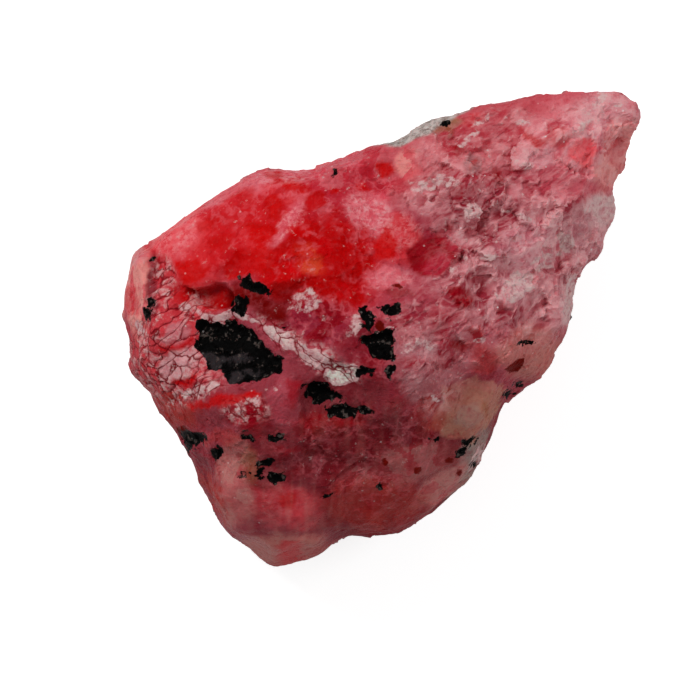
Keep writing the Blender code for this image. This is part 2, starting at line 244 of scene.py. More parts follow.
# Patches with crisp outlines, laid over the soft ones: tint, strength, outline.
patches = {
    "pocketHigh": ("vivid", 0.9, [
        (-8.1, 9.2), (-7.4, 9.3), (-6.8, 9.0), (-6.9, 8.2), (-7.3, 7.5), (-7.8, 7.8), (-8.1, 8.3)]),
    "pocketLow": ("vivid", 0.95, [
        (-9.4, 7.3), (-8.9, 7.4), (-8.1, 7.1), (-7.2, 7.1), (-7.1, 6.8), (-7.8, 6.3), (-8.3, 5.9),
        (-8.9, 5.8), (-9.1, 6.4)]),
    "pocketLeft": ("vivid", 0.7, [
        (-11.7, 6.6), (-11.0, 6.8), (-10.3, 6.6), (-10.3, 5.8), (-11.2, 5.4), (-12.2, 5.8)]),
    "lensFoot": ("vivid", 0.9, [
        (-10.4, 5.3), (-8.3, 5.9), (-7.3, 5.2), (-7.4, 4.1), (-8.5, 3.6), (-9.6, 3.7), (-10.6, 3.3),
        (-11.1, 4.1)]),
    "lensMiddle": ("vivid", 0.7, [
        (-12.9, 7.4), (-11.8, 7.9), (-11.2, 7.6), (-11.6, 6.9), (-12.6, 6.6)]),
    "lensFar": ("scarlet", 0.55, [
        (-9.9, 9.4), (-9.0, 9.9), (-8.5, 9.5), (-9.1, 8.8), (-9.9, 8.8)]),
    "lensLow": ("vivid", 0.95, [
        (-14.1, 4.6), (-12.6, 4.9), (-11.9, 4.2), (-12.4, 3.4), (-13.6, 3.1), (-14.1, 3.8)]),
    "lensTop": ("scarlet", 0.9, [
        (-8.0, 10.9), (-7.1, 11.0), (-6.6, 10.5), (-7.3, 10.2), (-8.0, 10.4)]),
    "spotFirst": ("scarlet", 0.95, [
        (-5.4, 9.0), (-4.9, 9.4), (-4.0, 9.5), (-3.5, 9.0), (-3.7, 8.6), (-4.2, 8.2), (-5.2, 8.1)]),
    "spotSecond": ("vivid", 0.95, [
        (-3.6, 9.9), (-2.9, 9.9), (-2.8, 9.5), (-3.6, 9.4)]),
    "spotFifth": ("scarlet", 0.95, [
        (-3.4, 8.7), (-2.6, 8.3), (-2.8, 8.0), (-3.3, 8.1)]),
    "spotThird": ("glowing", 0.9, [
        (-1.8, 10.4), (-1.4, 10.3), (-0.4, 9.6), (-0.8, 9.4), (-1.4, 9.5)]),
    "middleHigh": ("scarlet", 0.8, [
        (-5.4, 7.3), (-4.3, 7.5), (-3.8, 6.7), (-2.8, 7.0), (-1.9, 6.6), (-2.3, 6.2), (-3.2, 6.3),
        (-4.3, 6.4)]),
    "middleRight": ("scarlet", 0.9, [
        (-3.7, 6.7), (-1.9, 5.8), (-1.7, 5.1), (-1.1, 4.0), (-1.9, 3.5), (-3.1, 3.8), (-3.6, 4.6),
        (-4.5, 5.3), (-4.2, 6.2)]),
    "middleLow": ("scarlet", 0.9, [
        (-4.9, 3.4), (-2.2, 3.4), (-1.1, 2.4), (-1.0, 1.7), (-1.9, 1.5), (-3.1, 2.2), (-5.1, 2.6)]),
    "middleFoot": ("deep", 0.85, [
        (-7.5, 3.4), (-6.6, 3.3), (-5.2, 3.5), (-5.4, 2.7), (-6.5, 1.9), (-7.4, 1.9), (-7.8, 2.4)]),
    "bandVivid": ("vivid", 0.95, [
        (0.0, 11.8), (0.6, 11.7), (1.0, 11.2), (0.7, 10.4), (0.0, 10.4), (-0.3, 11.1)]),
    "patchRed": ("vivid", 0.9, [
        (-0.1, 6.7), (0.5, 6.9), (1.2, 6.2), (1.3, 5.4), (0.7, 4.7), (-0.2, 4.5), (-0.5, 5.8)]),
    "deepPocket": ("crimson", 1.0, [
        (3.3, 6.9), (3.9, 6.6), (5.5, 5.8), (5.5, 5.2), (4.5, 3.8), (3.5, 3.5), (2.3, 3.7),
        (1.6, 5.2), (2.4, 6.0)]),
    "deepFacet": ("cherry", 0.75, [
        (3.5, 4.9), (4.3, 5.4), (5.0, 4.6), (4.3, 3.9), (3.6, 3.5), (3.0, 3.9)]),
    "deepRight": ("cherry", 0.6, [
        (4.4, 6.3), (5.6, 6.1), (5.7, 5.3), (4.9, 5.2)]),
    "deepHigh": ("rosewood", 0.8, [
        (2.8, 7.0), (3.6, 6.9), (3.9, 6.2), (3.0, 6.2)]),
    "bandSpot": ("crimson", 0.85, [
        (7.8, 11.2), (8.4, 11.3), (8.6, 10.4), (8.3, 9.7), (8.0, 10.4)]),
    "bandStreak": ("scarlet", 0.7, [
        (6.1, 11.2), (6.9, 12.0), (7.0, 11.5), (6.4, 11.0)]),
    "bandCave": ("crimson", 0.6, [
        (5.0, 9.9), (5.8, 9.9), (5.9, 9.1), (5.3, 8.9)]),
    "bandChip": ("crimson", 0.8, [
        (4.6, 7.4), (5.1, 7.3), (5.1, 6.7), (4.7, 6.7)]),
    "bandFar": ("cherry", 0.7, [
        (7.5, 14.0), (8.4, 14.3), (8.9, 13.8), (8.0, 13.4)]),
    "bandEdge": ("coral", 0.7, [
        (5.4, 14.2), (6.4, 14.9), (7.4, 15.1), (7.4, 14.6), (6.2, 13.9)]),
    "deepShade": ("garnet", 0.3, [
        (1.7, 5.1), (2.4, 5.8), (2.7, 4.6), (2.9, 3.7), (2.2, 3.9)]),
    "pocketRight": ("crimson", 1.0, [
        (4.6, 2.7), (5.6, 3.0), (6.4, 2.6), (6.5, 1.7), (5.9, 1.3), (5.1, 1.7)]),
    "pocketFar": ("wine", 0.9, [
        (7.9, 1.9), (8.8, 1.8), (8.9, 1.1), (8.1, 0.9)]),
    "pocketFoot": ("scarlet", 0.95, [
        (6.0, -0.2), (7.0, 0.2), (7.2, -0.5), (6.5, -1.0)]),
    "tipLens": ("rosy", 0.8, [
        (13.6, 13.3), (14.7, 13.5), (15.2, 12.4), (14.7, 11.0), (13.7, 11.3), (13.1, 12.3)]),
    "bandDark": ("crimson", 0.95, [
        (4.8, 12.9), (5.7, 12.9), (5.9, 12.3), (5.3, 11.9)]),
    "bandRed": ("scarlet", 0.85, [
        (9.5, 13.9), (10.3, 13.8), (11.7, 13.1), (11.6, 12.6), (10.8, 12.5), (10.2, 13.1)]),
    "caveDark": ("wine", 0.75, [
        (6.0, 7.3), (7.4, 7.7), (7.7, 6.7), (7.0, 6.3), (6.0, 6.4)]),
    "caveFar": ("mauve", 0.7, [
        (8.6, 8.8), (10.1, 8.8), (9.8, 8.1), (8.8, 8.0)]),
    "bandWine": ("wine", 0.35, [
        (3.7, 9.2), (5.1, 9.7), (6.5, 9.9), (7.0, 9.0), (5.8, 8.5), (4.2, 8.3)]),
    "columnRed": ("coral", 0.75, [
        (-17.7, 3.0), (-17.0, 2.8), (-16.7, 1.9), (-16.9, 1.0), (-17.6, 0.7), (-17.9, 1.8)]),
    "columnPale": ("dusty", 0.6, [
        (-17.7, 5.8), (-16.6, 6.0), (-16.3, 4.9), (-17.0, 4.3), (-17.8, 4.5)]),
    "longPlate": ("dusty", 0.9, [
        (-15.4, -1.2), (-15.2, -0.6), (-14.6, 0.2), (-13.9, 0.5), (-13.3, 0.3), (-13.1, -0.2),
        (-13.9, -0.7), (-14.7, -1.2)]),
    "widePlate": ("pale", 0.9, [
        (-15.5, -2.9), (-15.4, -2.3), (-14.6, -1.7), (-13.6, -1.2), (-12.9, -1.3), (-12.5, -2.0),
        (-12.8, -2.9), (-13.4, -3.2), (-14.3, -3.6), (-15.2, -3.6)]),
    "redSeam": ("scarlet", 1.0, [
        (-14.7, -3.8), (-13.6, -3.5), (-12.9, -3.2), (-12.5, -3.2), (-12.9, -3.8), (-14.1, -4.2)]),
    "highSeam": ("scarlet", 0.8, [
        (-15.4, -1.4), (-14.2, -1.1), (-13.1, -0.4), (-13.0, -0.8), (-14.2, -1.5), (-15.5, -1.9)]),
    "redBand": ("vivid", 0.85, [
        (-13.7, -5.3), (-12.2, -5.1), (-11.5, -4.5), (-10.5, -4.8), (-8.8, -4.4), (-8.1, -4.5),
        (-8.2, -4.9), (-10.4, -5.3), (-11.5, -5.5), (-13.0, -5.8)]),
    "darkStreak": ("crimson", 0.75, [
        (-6.6, -3.5), (-5.5, -3.7), (-5.5, -4.8), (-6.2, -5.8), (-6.3, -4.8)]),
    "redStep": ("brick", 0.5, [
        (-12.4, -7.8), (-11.5, -6.8), (-10.5, -7.0), (-9.5, -7.6), (-10.5, -8.2), (-11.5, -8.0),
        (-12.2, -8.4)]),
    "underBlack": ("crimson", 0.6, [
        (-5.8, -5.8), (-3.7, -6.0), (-2.5, -6.5), (-0.7, -6.4), (-1.3, -7.0), (-3.3, -6.8),
        (-4.9, -7.2)]),
    "lowPocket": ("crimson", 0.5, [
        (-7.4, -8.4), (-5.4, -8.2), (-5.2, -8.5), (-6.6, -8.8)]),
    "lowSecond": ("crimson", 0.5, [
        (-6.3, -9.6), (-5.4, -9.5), (-5.5, -9.9), (-6.2, -9.9)]),
    "crimsonChip": ("crimson", 0.95, [
        (6.1, -0.1), (7.0, 0.0), (7.1, -0.5), (6.6, -1.0), (6.2, -0.7)]),
    "crimsonStep": ("crimson", 0.8, [
        (4.9, -1.3), (5.9, -0.9), (6.4, -1.3), (5.3, -1.6)]),
    "peachFoot": ("brick", 0.7, [
        (2.8, -5.0), (3.7, -4.8), (3.9, -5.5), (3.5, -6.0), (3.0, -5.9)]),
    "peach": ("peach", 0.7, [
        (4.2, -4.2), (5.4, -4.0), (6.2, -3.4), (7.6, -3.6), (8.8, -4.2), (8.3, -5.6), (7.7, -6.6),
        (7.0, -7.2), (6.5, -8.0), (5.0, -7.6), (3.4, -7.2), (3.6, -6.2), (4.3, -5.3)]),
    "peachSide": ("brick", 0.35, [
        (3.4, -7.2), (3.6, -6.2), (4.3, -5.3), (4.7, -6.0), (4.4, -7.3)]),
    "peachTop": ("salmon", 0.5, [
        (5.4, -4.0), (6.2, -3.4), (7.6, -3.6), (8.8, -4.2), (7.4, -4.5)]),
    "peachGrey": ("greyed", 0.4, [
        (5.6, -5.2), (6.8, -5.4), (7.2, -6.4), (6.4, -7.2), (5.2, -6.6)]),
    "peachYellow": ("ochre", 0.6, [
        (7.1, -5.2), (7.5, -5.2), (7.7, -6.0), (7.2, -6.3)]),
}

# How the stone is broken, place by place: middle, half size (mm), turn, strength.
breaks = {
    "frost": [
        ((-14.4, -1.4), (3.5, 4.4), 0, 1.0), ((-15.0, 2.8), (1.0, 2.6), 10, 0.9),
        ((-10.8, 0.6), (2.6, 0.6), 2, 1.0), ((-7.0, -0.6), (2.6, 1.1), -30, 1.0),
        ((-4.6, -2.0), (2.2, 1.1), -38, 1.0), ((-2.7, -3.1), (1.6, 0.9), 10, 1.0),
        ((-9.2, -5.6), (1.7, 1.1), -5, 0.9), ((-12.8, -4.2), (2.0, 0.9), 10, 1.0),
    ],
    "flakes": [
        ((9.5, 5.0), (7.0, 6.5), 30, 1.0), ((12.5, 12.5), (6.0, 3.0), 20, 0.8),
        ((4.0, 0.0), (3.8, 3.6), 0, 0.55), ((5.5, 9.8), (4.6, 2.2), 10, 0.9),
        ((7.0, 13.2), (5.5, 1.8), 14, 0.65), ((16.2, 12.4), (1.6, 3.2), -15, 0.5),
        ((3.8, -4.0), (2.4, 2.2), 0, 0.6),
    ],
    "veins": [
        ((-4.0, 5.0), (6.0, 5.2), 0, 0.85), ((-3.0, 10.2), (8.0, 2.6), 15, 0.9),
        ((-11.0, 6.8), (6.6, 3.6), 28, 0.65), ((3.0, -1.0), (5.5, 3.5), 0, 0.7),
        ((8.0, 12.5), (8.0, 2.8), 15, 0.6), ((-4.0, 0.6), (3.0, 1.8), -15, 1.0),
        ((-1.0, -8.4), (7.0, 3.6), 0, 0.7), ((1.5, -12.0), (4.6, 2.2), 20, 0.5),
        ((-17.2, 3.1), (1.0, 3.5), 4, 0.8), ((-8.0, -11.0), (3.6, 3.0), 0, 0.35),
    ],
    "smooth": [
        ((-10.8, 6.6), (7.4, 3.8), 27, 0.85), ((-11.5, 2.4), (3.6, 1.2), -4, 1.0),
        ((-7.5, -12.8), (5.0, 4.0), 0, 0.85), ((2.0, -11.0), (5.0, 3.0), 25, 0.6),
        ((5.7, -5.6), (2.8, 2.3), 15, 0.7), ((-17.2, 3.2), (0.9, 3.4), 4, 0.6),
    ],
    "milky": [
        ((-0.6, 8.0), (2.2, 1.4), -35, 1.0), ((0.4, 3.4), (1.8, 0.9), 5, 0.9),
        ((1.5, 6.6), (1.6, 1.6), -30, 0.6), ((-6.4, 7.4), (2.0, 0.6), 56, 0.8),
        ((11.1, 5.9), (3.4, 2.0), 20, 1.0), ((9.5, 3.0), (1.8, 1.1), 20, 1.0),
        ((14.6, 5.9), (1.6, 2.1), 0, 0.9), ((15.4, 8.3), (1.4, 1.4), 20, 1.0),
        ((15.8, 14.7), (2.6, 2.0), 0, 0.8), ((11.0, 11.8), (1.6, 0.9), 0, 0.9),
        ((12.6, 1.8), (1.6, 2.2), 0, 0.7), ((2.7, -1.3), (1.7, 0.7), 5, 0.8),
        ((-14.5, 7.2), (2.1, 1.9), 20, 0.6), ((-6.3, 11.1), (4.0, 0.9), 14, 0.6),
    ],
    "hazy": [
        ((-1.0, -8.6), (9.0, 4.6), 4, 1.0), ((-7.0, -13.0), (5.5, 4.5), 0, 1.7),
        ((5.5, -6.5), (3.0, 3.6), 20, 0.7),
    ],
    # white: pale breaks, with painted sheen and highlights along the glossy ridge and on bright flakes
    "white": [
        ((-11.3, 0.9), (1.6, 0.4), 4, 1.1), ((-9.2, 0.5), (1.1, 0.4), -25, 0.9),
        ((-7.1, -0.7), (1.5, 0.6), -30, 1.2), ((-4.8, -2.0), (1.9, 0.8), -38, 0.9),
        ((-2.7, -3.1), (1.6, 0.75), 10, 1.5), ((-16.9, 0.1), (0.3, 0.4), 0, 1.0),
        ((-13.6, 1.3), (0.6, 0.4), 0, 0.9), ((-12.7, -4.1), (1.8, 0.65), 12, 0.75),
        ((-14.1, -5.2), (1.1, 0.3), -20, 0.6), ((-9.2, -5.6), (1.4, 1.0), 0, 0.5),
        ((-5.2, 1.8), (1.5, 0.8), 10, 0.55), ((-1.8, 0.1), (0.8, 1.1), -40, 0.6),
        ((0.3, -0.1), (1.1, 0.22), 20, 0.9), ((9.5, 3.0), (1.7, 0.9), 25, 0.85),
        ((11.3, 4.0), (0.6, 0.3), 25, 1.0), ((7.1, -0.9), (0.5, 0.3), 0, 0.7),
        ((6.5, 8.0), (0.9, 0.7), 20, 0.8), ((3.8, 10.1), (2.3, 0.6), 5, 0.62),
        ((12.9, 6.0), (0.7, 1.1), 0, 0.9), ((13.2, 1.8), (0.7, 2.2), 0, 0.75),
        ((15.5, 8.4), (1.2, 1.0), 20, 0.75), ((15.0, 15.7), (1.7, 0.3), 40, 0.6),
        ((16.4, 15.3), (0.35, 0.2), 0, 0.9), ((14.1, 14.1), (1.2, 0.35), 45, 0.6),
        ((6.9, -8.9), (1.5, 0.45), 55, 0.65), ((3.7, -4.8), (0.35, 0.25), 0, 0.8),
        ((-7.4, -4.3), (1.0, 0.3), 20, 0.4), ((2.7, -1.3), (1.6, 0.5), 5, 0.62),
        ((7.0, 14.4), (1.0, 0.25), 25, 0.6), ((10.1, 14.2), (0.9, 0.3), 5, 0.6),
        ((6.1, 13.2), (1.1, 0.25), 35, 0.6), ((5.2, 4.4), (0.3, 1.2), -35, 0.6),
        ((7.6, 4.9), (1.3, 0.35), 8, 0.65), ((9.6, 8.0), (1.9, 0.3), -25, 0.6),
        ((11.6, 5.0), (1.5, 0.35), 20, 0.7), ((9.8, 11.7), (1.2, 0.4), -15, 0.6),
    ],
}

# The same out of the photo's sight, the whole way round.
outOfSight = {"frost": 0.15, "flakes": 0.55, "veins": 0.5, "smooth": 0.15, "milky": 0.1, "hazy": 0.3,
              "white": 0.0}

# Black manganese oxide: outlines of the larger patches, mm.
oxideOutlines = {
    "pit": [
        (-12.8, 0.3), (-12.4, 0.5), (-9.4, 0.35), (-8.5, -0.4), (-7.6, -1.5), (-6.8, -2.1),
        (-6.8, -3.0), (-7.7, -3.4), (-8.7, -3.7), (-9.9, -3.9), (-10.6, -4.0), (-10.8, -3.2),
        (-11.8, -2.9), (-12.4, -2.0), (-12.9, -1.3)],
    "leftLobe": [
        (-1.6, 1.5), (-1.0, 1.6), (-0.4, 0.9), (-0.3, 0.4), (-0.7, -0.2), (-1.3, 0.3)],
    "rightLobe": [
        (-0.1, 1.4), (1.0, 1.8), (1.6, 1.3), (1.3, 0.8), (0.6, 0.6), (0.1, 0.8)],
    "lowerLobe": [
        (-1.6, -0.7), (-1.0, -0.5), (-0.3, -0.3), (0.8, 0.0), (1.0, -0.8), (0.8, -1.7), (1.2, -2.0),
        (0.8, -2.3), (-0.4, -2.2), (-0.8, -1.5), (-1.5, -1.1)],
    "flakeTail": [
        (-1.8, -2.8), (-0.3, -2.7), (-0.3, -3.2), (-1.0, -3.4), (-1.7, -3.3)],
    "smallTail": [
        (0.3, -2.6), (1.0, -2.6), (1.0, -3.3), (0.5, -3.4)],
    "upperBar": [
        (-5.4, -3.9), (-4.3, -3.7), (-3.5, -4.1), (-2.9, -4.5), (-2.4, -4.8), (-2.8, -5.0),
        (-3.5, -5.0), (-4.3, -5.4), (-5.0, -4.8)],
    "lowerBar": [
        (-3.9, -5.6), (-3.1, -5.2), (-2.1, -5.2), (-1.1, -5.5), (-0.3, -5.8), (-0.8, -6.1),
        (-1.8, -6.0), (-2.2, -6.3), (-3.2, -6.2), (-3.8, -6.0)],
    "lensFoot": [
        (-9.9, 3.6), (-9.3, 3.6), (-8.7, 3.2), (-8.1, 3.1), (-7.6, 2.7), (-7.7, 2.2), (-8.5, 2.4),
        (-9.2, 2.6), (-9.7, 3.0)],
    "trenchFoot": [
        (-10.1, 2.2), (-9.5, 2.4), (-9.1, 1.8), (-9.2, 1.1), (-9.8, 0.8), (-10.3, 1.1), (-10.2, 1.8)],
    "leftFoot": [
        (-14.2, -7.2), (-13.4, -7.1), (-12.6, -7.3), (-12.0, -7.4), (-12.3, -8.0), (-13.0, -8.5),
        (-13.5, -8.6), (-13.7, -8.0)],
    "leftDrop": [
        (-11.8, -8.3), (-11.1, -8.2), (-10.9, -8.7), (-11.1, -9.1), (-11.7, -9.2), (-11.8, -8.7)],
}
# Smaller ones: middle, half size (mm), turn.
oxideSpots = [
    ((-6.6, 0.0), (0.3, 0.25), 60), ((-9.2, -7.6), (0.5, 0.25), -28), ((-7.4, -7.6), (0.9, 0.3), -6),
    ((-8.0, -9.4), (0.6, 0.35), 30), ((-9.5, -10.2), (0.4, 0.22), 15),
    ((-7.2, -10.5), (0.8, 0.45), 5), ((-8.3, -10.1), (0.3, 0.25), 0), ((-3.9, -11.6), (0.4, 0.2), 22),
    ((0.2, -11.0), (0.32, 0.18), 10), ((3.9, -7.8), (0.4, 0.2), 0), ((6.3, -7.9), (0.6, 0.28), 32),
    ((5.7, -8.7), (0.45, 0.33), 0), ((6.5, -9.5), (0.25, 0.2), 0), ((9.6, -3.9), (0.35, 0.22), 35),
    ((8.9, -4.6), (0.38, 0.27), 20), ((10.1, -1.0), (0.8, 0.16), 2), ((-3.1, 10.9), (0.22, 0.36), 0),
    ((-16.2, 1.0), (0.3, 0.35), 0), ((-15.9, 1.9), (0.2, 0.5), 15), ((-15.9, 4.8), (0.2, 0.2), 0),
    ((-17.9, 3.4), (0.2, 0.2), 0), ((4.6, 14.25), (0.3, 0.2), 10),
]
# Dull grey plates where the oxide is worn: the same way.
wornSpots = [
    ((-11.9, -2.2), (0.9, 0.5), -45), ((-10.1, -3.3), (0.6, 0.4), 0),
    ((-10.4, -2.3), (1.3, 0.25), 10), ((-8.9, -2.9), (0.7, 0.2), 5), ((-8.2, -3.4), (0.5, 0.15), 10),
]
brownOutline = [(8.7, -2.9), (9.6, -2.1), (10.05, -2.05), (10.05, -2.5), (9.6, -3.0), (9.0, -3.1)]
brownSpots = [
    ((-13.8, -7.1), (0.4, 0.3), 0), ((4.8, -9.2), (0.26, 0.22), 0), ((5.5, -10.1), (0.26, 0.2), 60),
    ((2.6, -9.9), (0.3, 0.22), 0), ((0.3, -9.3), (0.24, 0.3), 0), ((0.0, 0.1), (0.3, 0.5), 30),
    ((1.2, 2.95), (0.35, 0.18), -10),
]
# Hollows that the finer skin has over the plain stone: outline and depths, mm.
trenchOutline = [(-13.9, 2.9), (-12.9, 2.65), (-12.0, 2.95), (-10.8, 3.2), (-10.3, 2.6), (-10.1, 1.6),
                 (-10.8, 1.3), (-11.9, 1.4), (-12.9, 1.7), (-13.6, 2.2)]
sunk = {"trench": 0.75, "oxide": 0.28}
# The grey rind is what lies beyond this line along the far edge.
rindLine = [(-1.2, 12.8), (1.3, 12.5), (3.5, 13.4), (4.9, 14.4), (7.0, 15.5)]


def smoothStep(low, high, values):
    share = np.clip((values - low) / (high - low), 0.0, 1.0)
    return share * share * (3.0 - 2.0 * share)


def asPhotographed(points):
    # where the camera above sees each point, carried to the level of the stone's widest line
    middle = np.array(photo["middle"])
    growth = photoDistance / (photoDistance + photo["level"] - points[:, 2])
    return middle + (points[:, :2] - middle) * growth[:, None] + (0.0, photo["markShift"])


def ovalDistance(plan, middle, size, turn):
    angle = math.radians(turn)
    offset = plan - middle
    along = (offset[:, 0] * math.cos(angle) + offset[:, 1] * math.sin(angle)) / size[0]
    across = (offset[:, 1] * math.cos(angle) - offset[:, 0] * math.sin(angle)) / size[1]
    return np.hypot(along, across)


# How far the edges of things wander: size of the waves, their reach (mm) and where they start.
wanders = {
    "breaks": [(1.9, 0.5, 0.0), (0.7, 0.2, 9.0)],
    "zones": [(1.7, 0.6, 4.0), (0.6, 0.3, 2.0)],
    "patches": [(0.9, 0.28, 1.0), (0.36, 0.2, 8.0)],
    "oxide": [(0.5, 0.38, 3.0)],
    "trench": [(0.8, 0.15, 5.0)],
    "rind": [(1.2, 0.2, 6.0)],
}
wanderSeed = 2
noise.seed_set(wanderSeed)


def wandering(points, kind):
    # places as photographed, moved a little, so that no zone has a plain oval edge
    plan = asPhotographed(points)
    for size, reach, start in wanders[kind]:
        places = [Vector(p) / size + Vector((start, 0.0, 0.0)) for p in points]
        plan = plan + reach * np.array([noise.noise_vector(p)[:2] for p in places])
    return plan


# Where a thing begins and ends to fade: in half sizes of an oval, in mm from an outline or a line,
# in mm above the ground, in the upright part of the normal, or in the value of a noise.
fades = {
    "zone": (0.62, 1.22), "break": (0.6, 1.15), "patch": (-0.12, 0.16), "rind": (0.0, 0.25),
    "trench": (-0.1, 0.45), "pit": (-0.1, 0.5), "ground": (0.1, 1.3), "sight": (-0.25, 0.15),
    "hiddenTint": (0.12, 0.42),
}
# Tints out of the photo's sight: the one below and those that lie over it in broad soft patches.
hiddenTints = {"under": "rosewood", "over": ("rose", "vivid", "blush", "wine", "coral", "mauve", "pale"),
               "size": 5.0, "apart": 7.3, "start": 3.1}


def zoneTints(plan, hidden, points):
    tint = np.tile(tints["rose"], (len(plan), 1))
    for middle, size, turn, name, strength in zones.values():
        share = strength * (1.0 - smoothStep(*fades["zone"], ovalDistance(plan, middle, size, turn)))
        tint += (tints[name] - tint) * share[:, None]
    pure = np.zeros(len(plan))
    fine = wandering(points, "patches")
    for name, strength, outline in patches.values():
        share = strength * smoothStep(*fades["patch"], outlineField(fine, outline))
        tint += (tints[name] - tint) * share[:, None]
        if name in pureTints:
            pure = np.maximum(pure, share)
    around = np.tile(tints[hiddenTints["under"]], (len(plan), 1))
    for step, name in enumerate(hiddenTints["over"]):
        start = Vector((hiddenTints["apart"] * step, hiddenTints["start"], 0.0))
        wave = np.array([noise.noise(Vector(p) / hiddenTints["size"] + start) for p in points])
        around += (tints[name] - around) * smoothStep(*fades["hiddenTint"], wave)[:, None]
    return tint + (around - tint) * hidden[:, None], pure * (1.0 - hidden)


def breakShare(plan, hidden, ovals, unseen):
    share = np.zeros(len(plan))
    for middle, size, turn, strength in ovals:
        near = 1.0 - smoothStep(*fades["break"], ovalDistance(plan, middle, size, turn))
        share = np.maximum(share, strength * near)
    return share + (unseen - share) * hidden


farOff = -9.0      # mm, a field's value where its shapes are nowhere near
beyondAll = 99.0   # mm, where a search for the nearest edge starts


def ovalField(plan, ovals):
    # above 0 inside an oval, in mm from its edge
    field = np.full(len(plan), farOff)
    for middle, size, turn in ovals:
        field = np.maximum(field, (1.0 - ovalDistance(plan, middle, size, turn)) * min(size))
    return field


def outlineField(plan, outline):
    # above 0 inside the outline, in mm from its edge
    corners = np.array(outline)
    nearest = np.full(len(plan), beyondAll)
    inside = np.zeros(len(plan), bool)
    for start, end in zip(corners, np.roll(corners, -1, axis=0)):
        along = end - start
        offset = plan - start
        share = np.clip(offset @ along / (along @ along), 0.0, 1.0)
        nearest = np.minimum(nearest, np.linalg.norm(offset - share[:, None] * along, axis=1))
        crosses = (start[1] > plan[:, 1]) != (end[1] > plan[:, 1])
        if along[1] != 0.0:
            inside ^= crosses & (offset[:, 0] < along[0] * offset[:, 1] / along[1])
    return np.where(inside, nearest, -nearest)


def oxideField(plan):
    field = ovalField(plan, oxideSpots)
    for outline in oxideOutlines.values():
        field = np.maximum(field, outlineField(plan, outline))
    return field


# Oxide out of the photo's sight: sizes in mm, and how hidden a place is where it may lie.
hiddenOxide = {"seed": 4, "count": 34, "smallest": 0.25, "largest": 1.5, "bias": 0.4,
               "stretch": (0.55, 1.6), "middleFrom": 0.6, "edgeFrom": 0.3}
sightEdge = 0.7      # how hidden a place may be and still carry the oxide that the photo shows


def hiddenOxideField(points, hidden):
    draw = np.random.RandomState(hiddenOxide["seed"])
    unseen = points[hidden > hiddenOxide["middleFrom"]]
    field = np.full(len(points), farOff)
    span = hiddenOxide["largest"] - hiddenOxide["smallest"]
    for near in draw.uniform(unseen.min(axis=0), unseen.max(axis=0), (hiddenOxide["count"], 3)):
        middle = unseen[np.argmin(np.linalg.norm(unseen - near, axis=1))]
        radius = hiddenOxide["smallest"] + draw.power(hiddenOxide["bias"]) * span
        stretch = draw.uniform(*hiddenOxide["stretch"], 3)
        away = np.linalg.norm((points - middle) * stretch, axis=1)
        field = np.maximum(field, radius - away)
    return np.where(hidden > hiddenOxide["edgeFrom"], field, farOff)


def lineDistance(plan, line):
    # above 0 on the left of the line, in mm from it
    nearest = np.full(len(plan), beyondAll)
    side = np.ones(len(plan))
    for start, end in zip(np.array(line[:-1]), np.array(line[1:])):
        along = end - start
        offset = plan - start
        share = np.clip(offset @ along / (along @ along), 0.0, 1.0)
        away = np.linalg.norm(offset - share[:, None] * along, axis=1)
        turn = np.sign(along[0] * offset[:, 1] - along[1] * offset[:, 0])
        side = np.where(away < nearest, turn, side)
        nearest = np.minimum(nearest, away)
    return nearest * side


# The skin that replaces the plain stone.

skin = {
    "voxel": 0.193,          # mm
    "softening": 3,
    "flakeSize": 3.1,
    "flakeTilt": 0.36,
    "flakeStep": 0.13,
    "flakeBowl": 0.34,
    "chipSize": 1.05,
    "chipTilt": 0.2,
    "chipStep": 0.09,
    "chipBowl": 0.12,
    "ledgeSpacing": 1.7,
    "ledgeHeight": 0.09,
    "crackSize": 1.0,
    "crackDepth": 0.06,
    "roughness": 0.05,
    "seed": 3.0,
    "ridgeReach": 2,         # rings of faces
    "riseReach": 16,
}


def pointsOf(mesh):
    values = np.empty(len(mesh.vertices) * 3, np.float32)
    mesh.vertices.foreach_get("co", values)
    return values.reshape(-1, 3).astype(float) / mm


def normalsOf(mesh):
    values = np.empty(len(mesh.vertices) * 3, np.float32)
    mesh.vertex_normals.foreach_get("vector", values)
    return values.reshape(-1, 3).astype(float)


def storeShare(mesh, name, values):
    layer = mesh.attributes.get(name) or mesh.attributes.new(name, "FLOAT", "POINT")
    layer.data.foreach_set("value", values.astype(np.float32))


def storeTint(mesh, name, values):
    layer = mesh.attributes.get(name) or mesh.attributes.new(name, "FLOAT_COLOR", "POINT")
    full = np.ones((len(values), 4), np.float32)
    full[:, :3] = np.clip(values, 0.0, 1.0)
    layer.data.foreach_set("color", full.ravel())


def plainMesh(obj, name):
    bpy.context.view_layer.update()
    graph = bpy.context.evaluated_depsgraph_get()
    mesh = bpy.data.meshes.new_from_object(obj.evaluated_get(graph))
    mesh.name = name
    return mesh


def applied(obj, *modifiers):
    obj.data = plainMesh(obj, obj.name)
    for modifier in modifiers:
        obj.modifiers.remove(modifier)


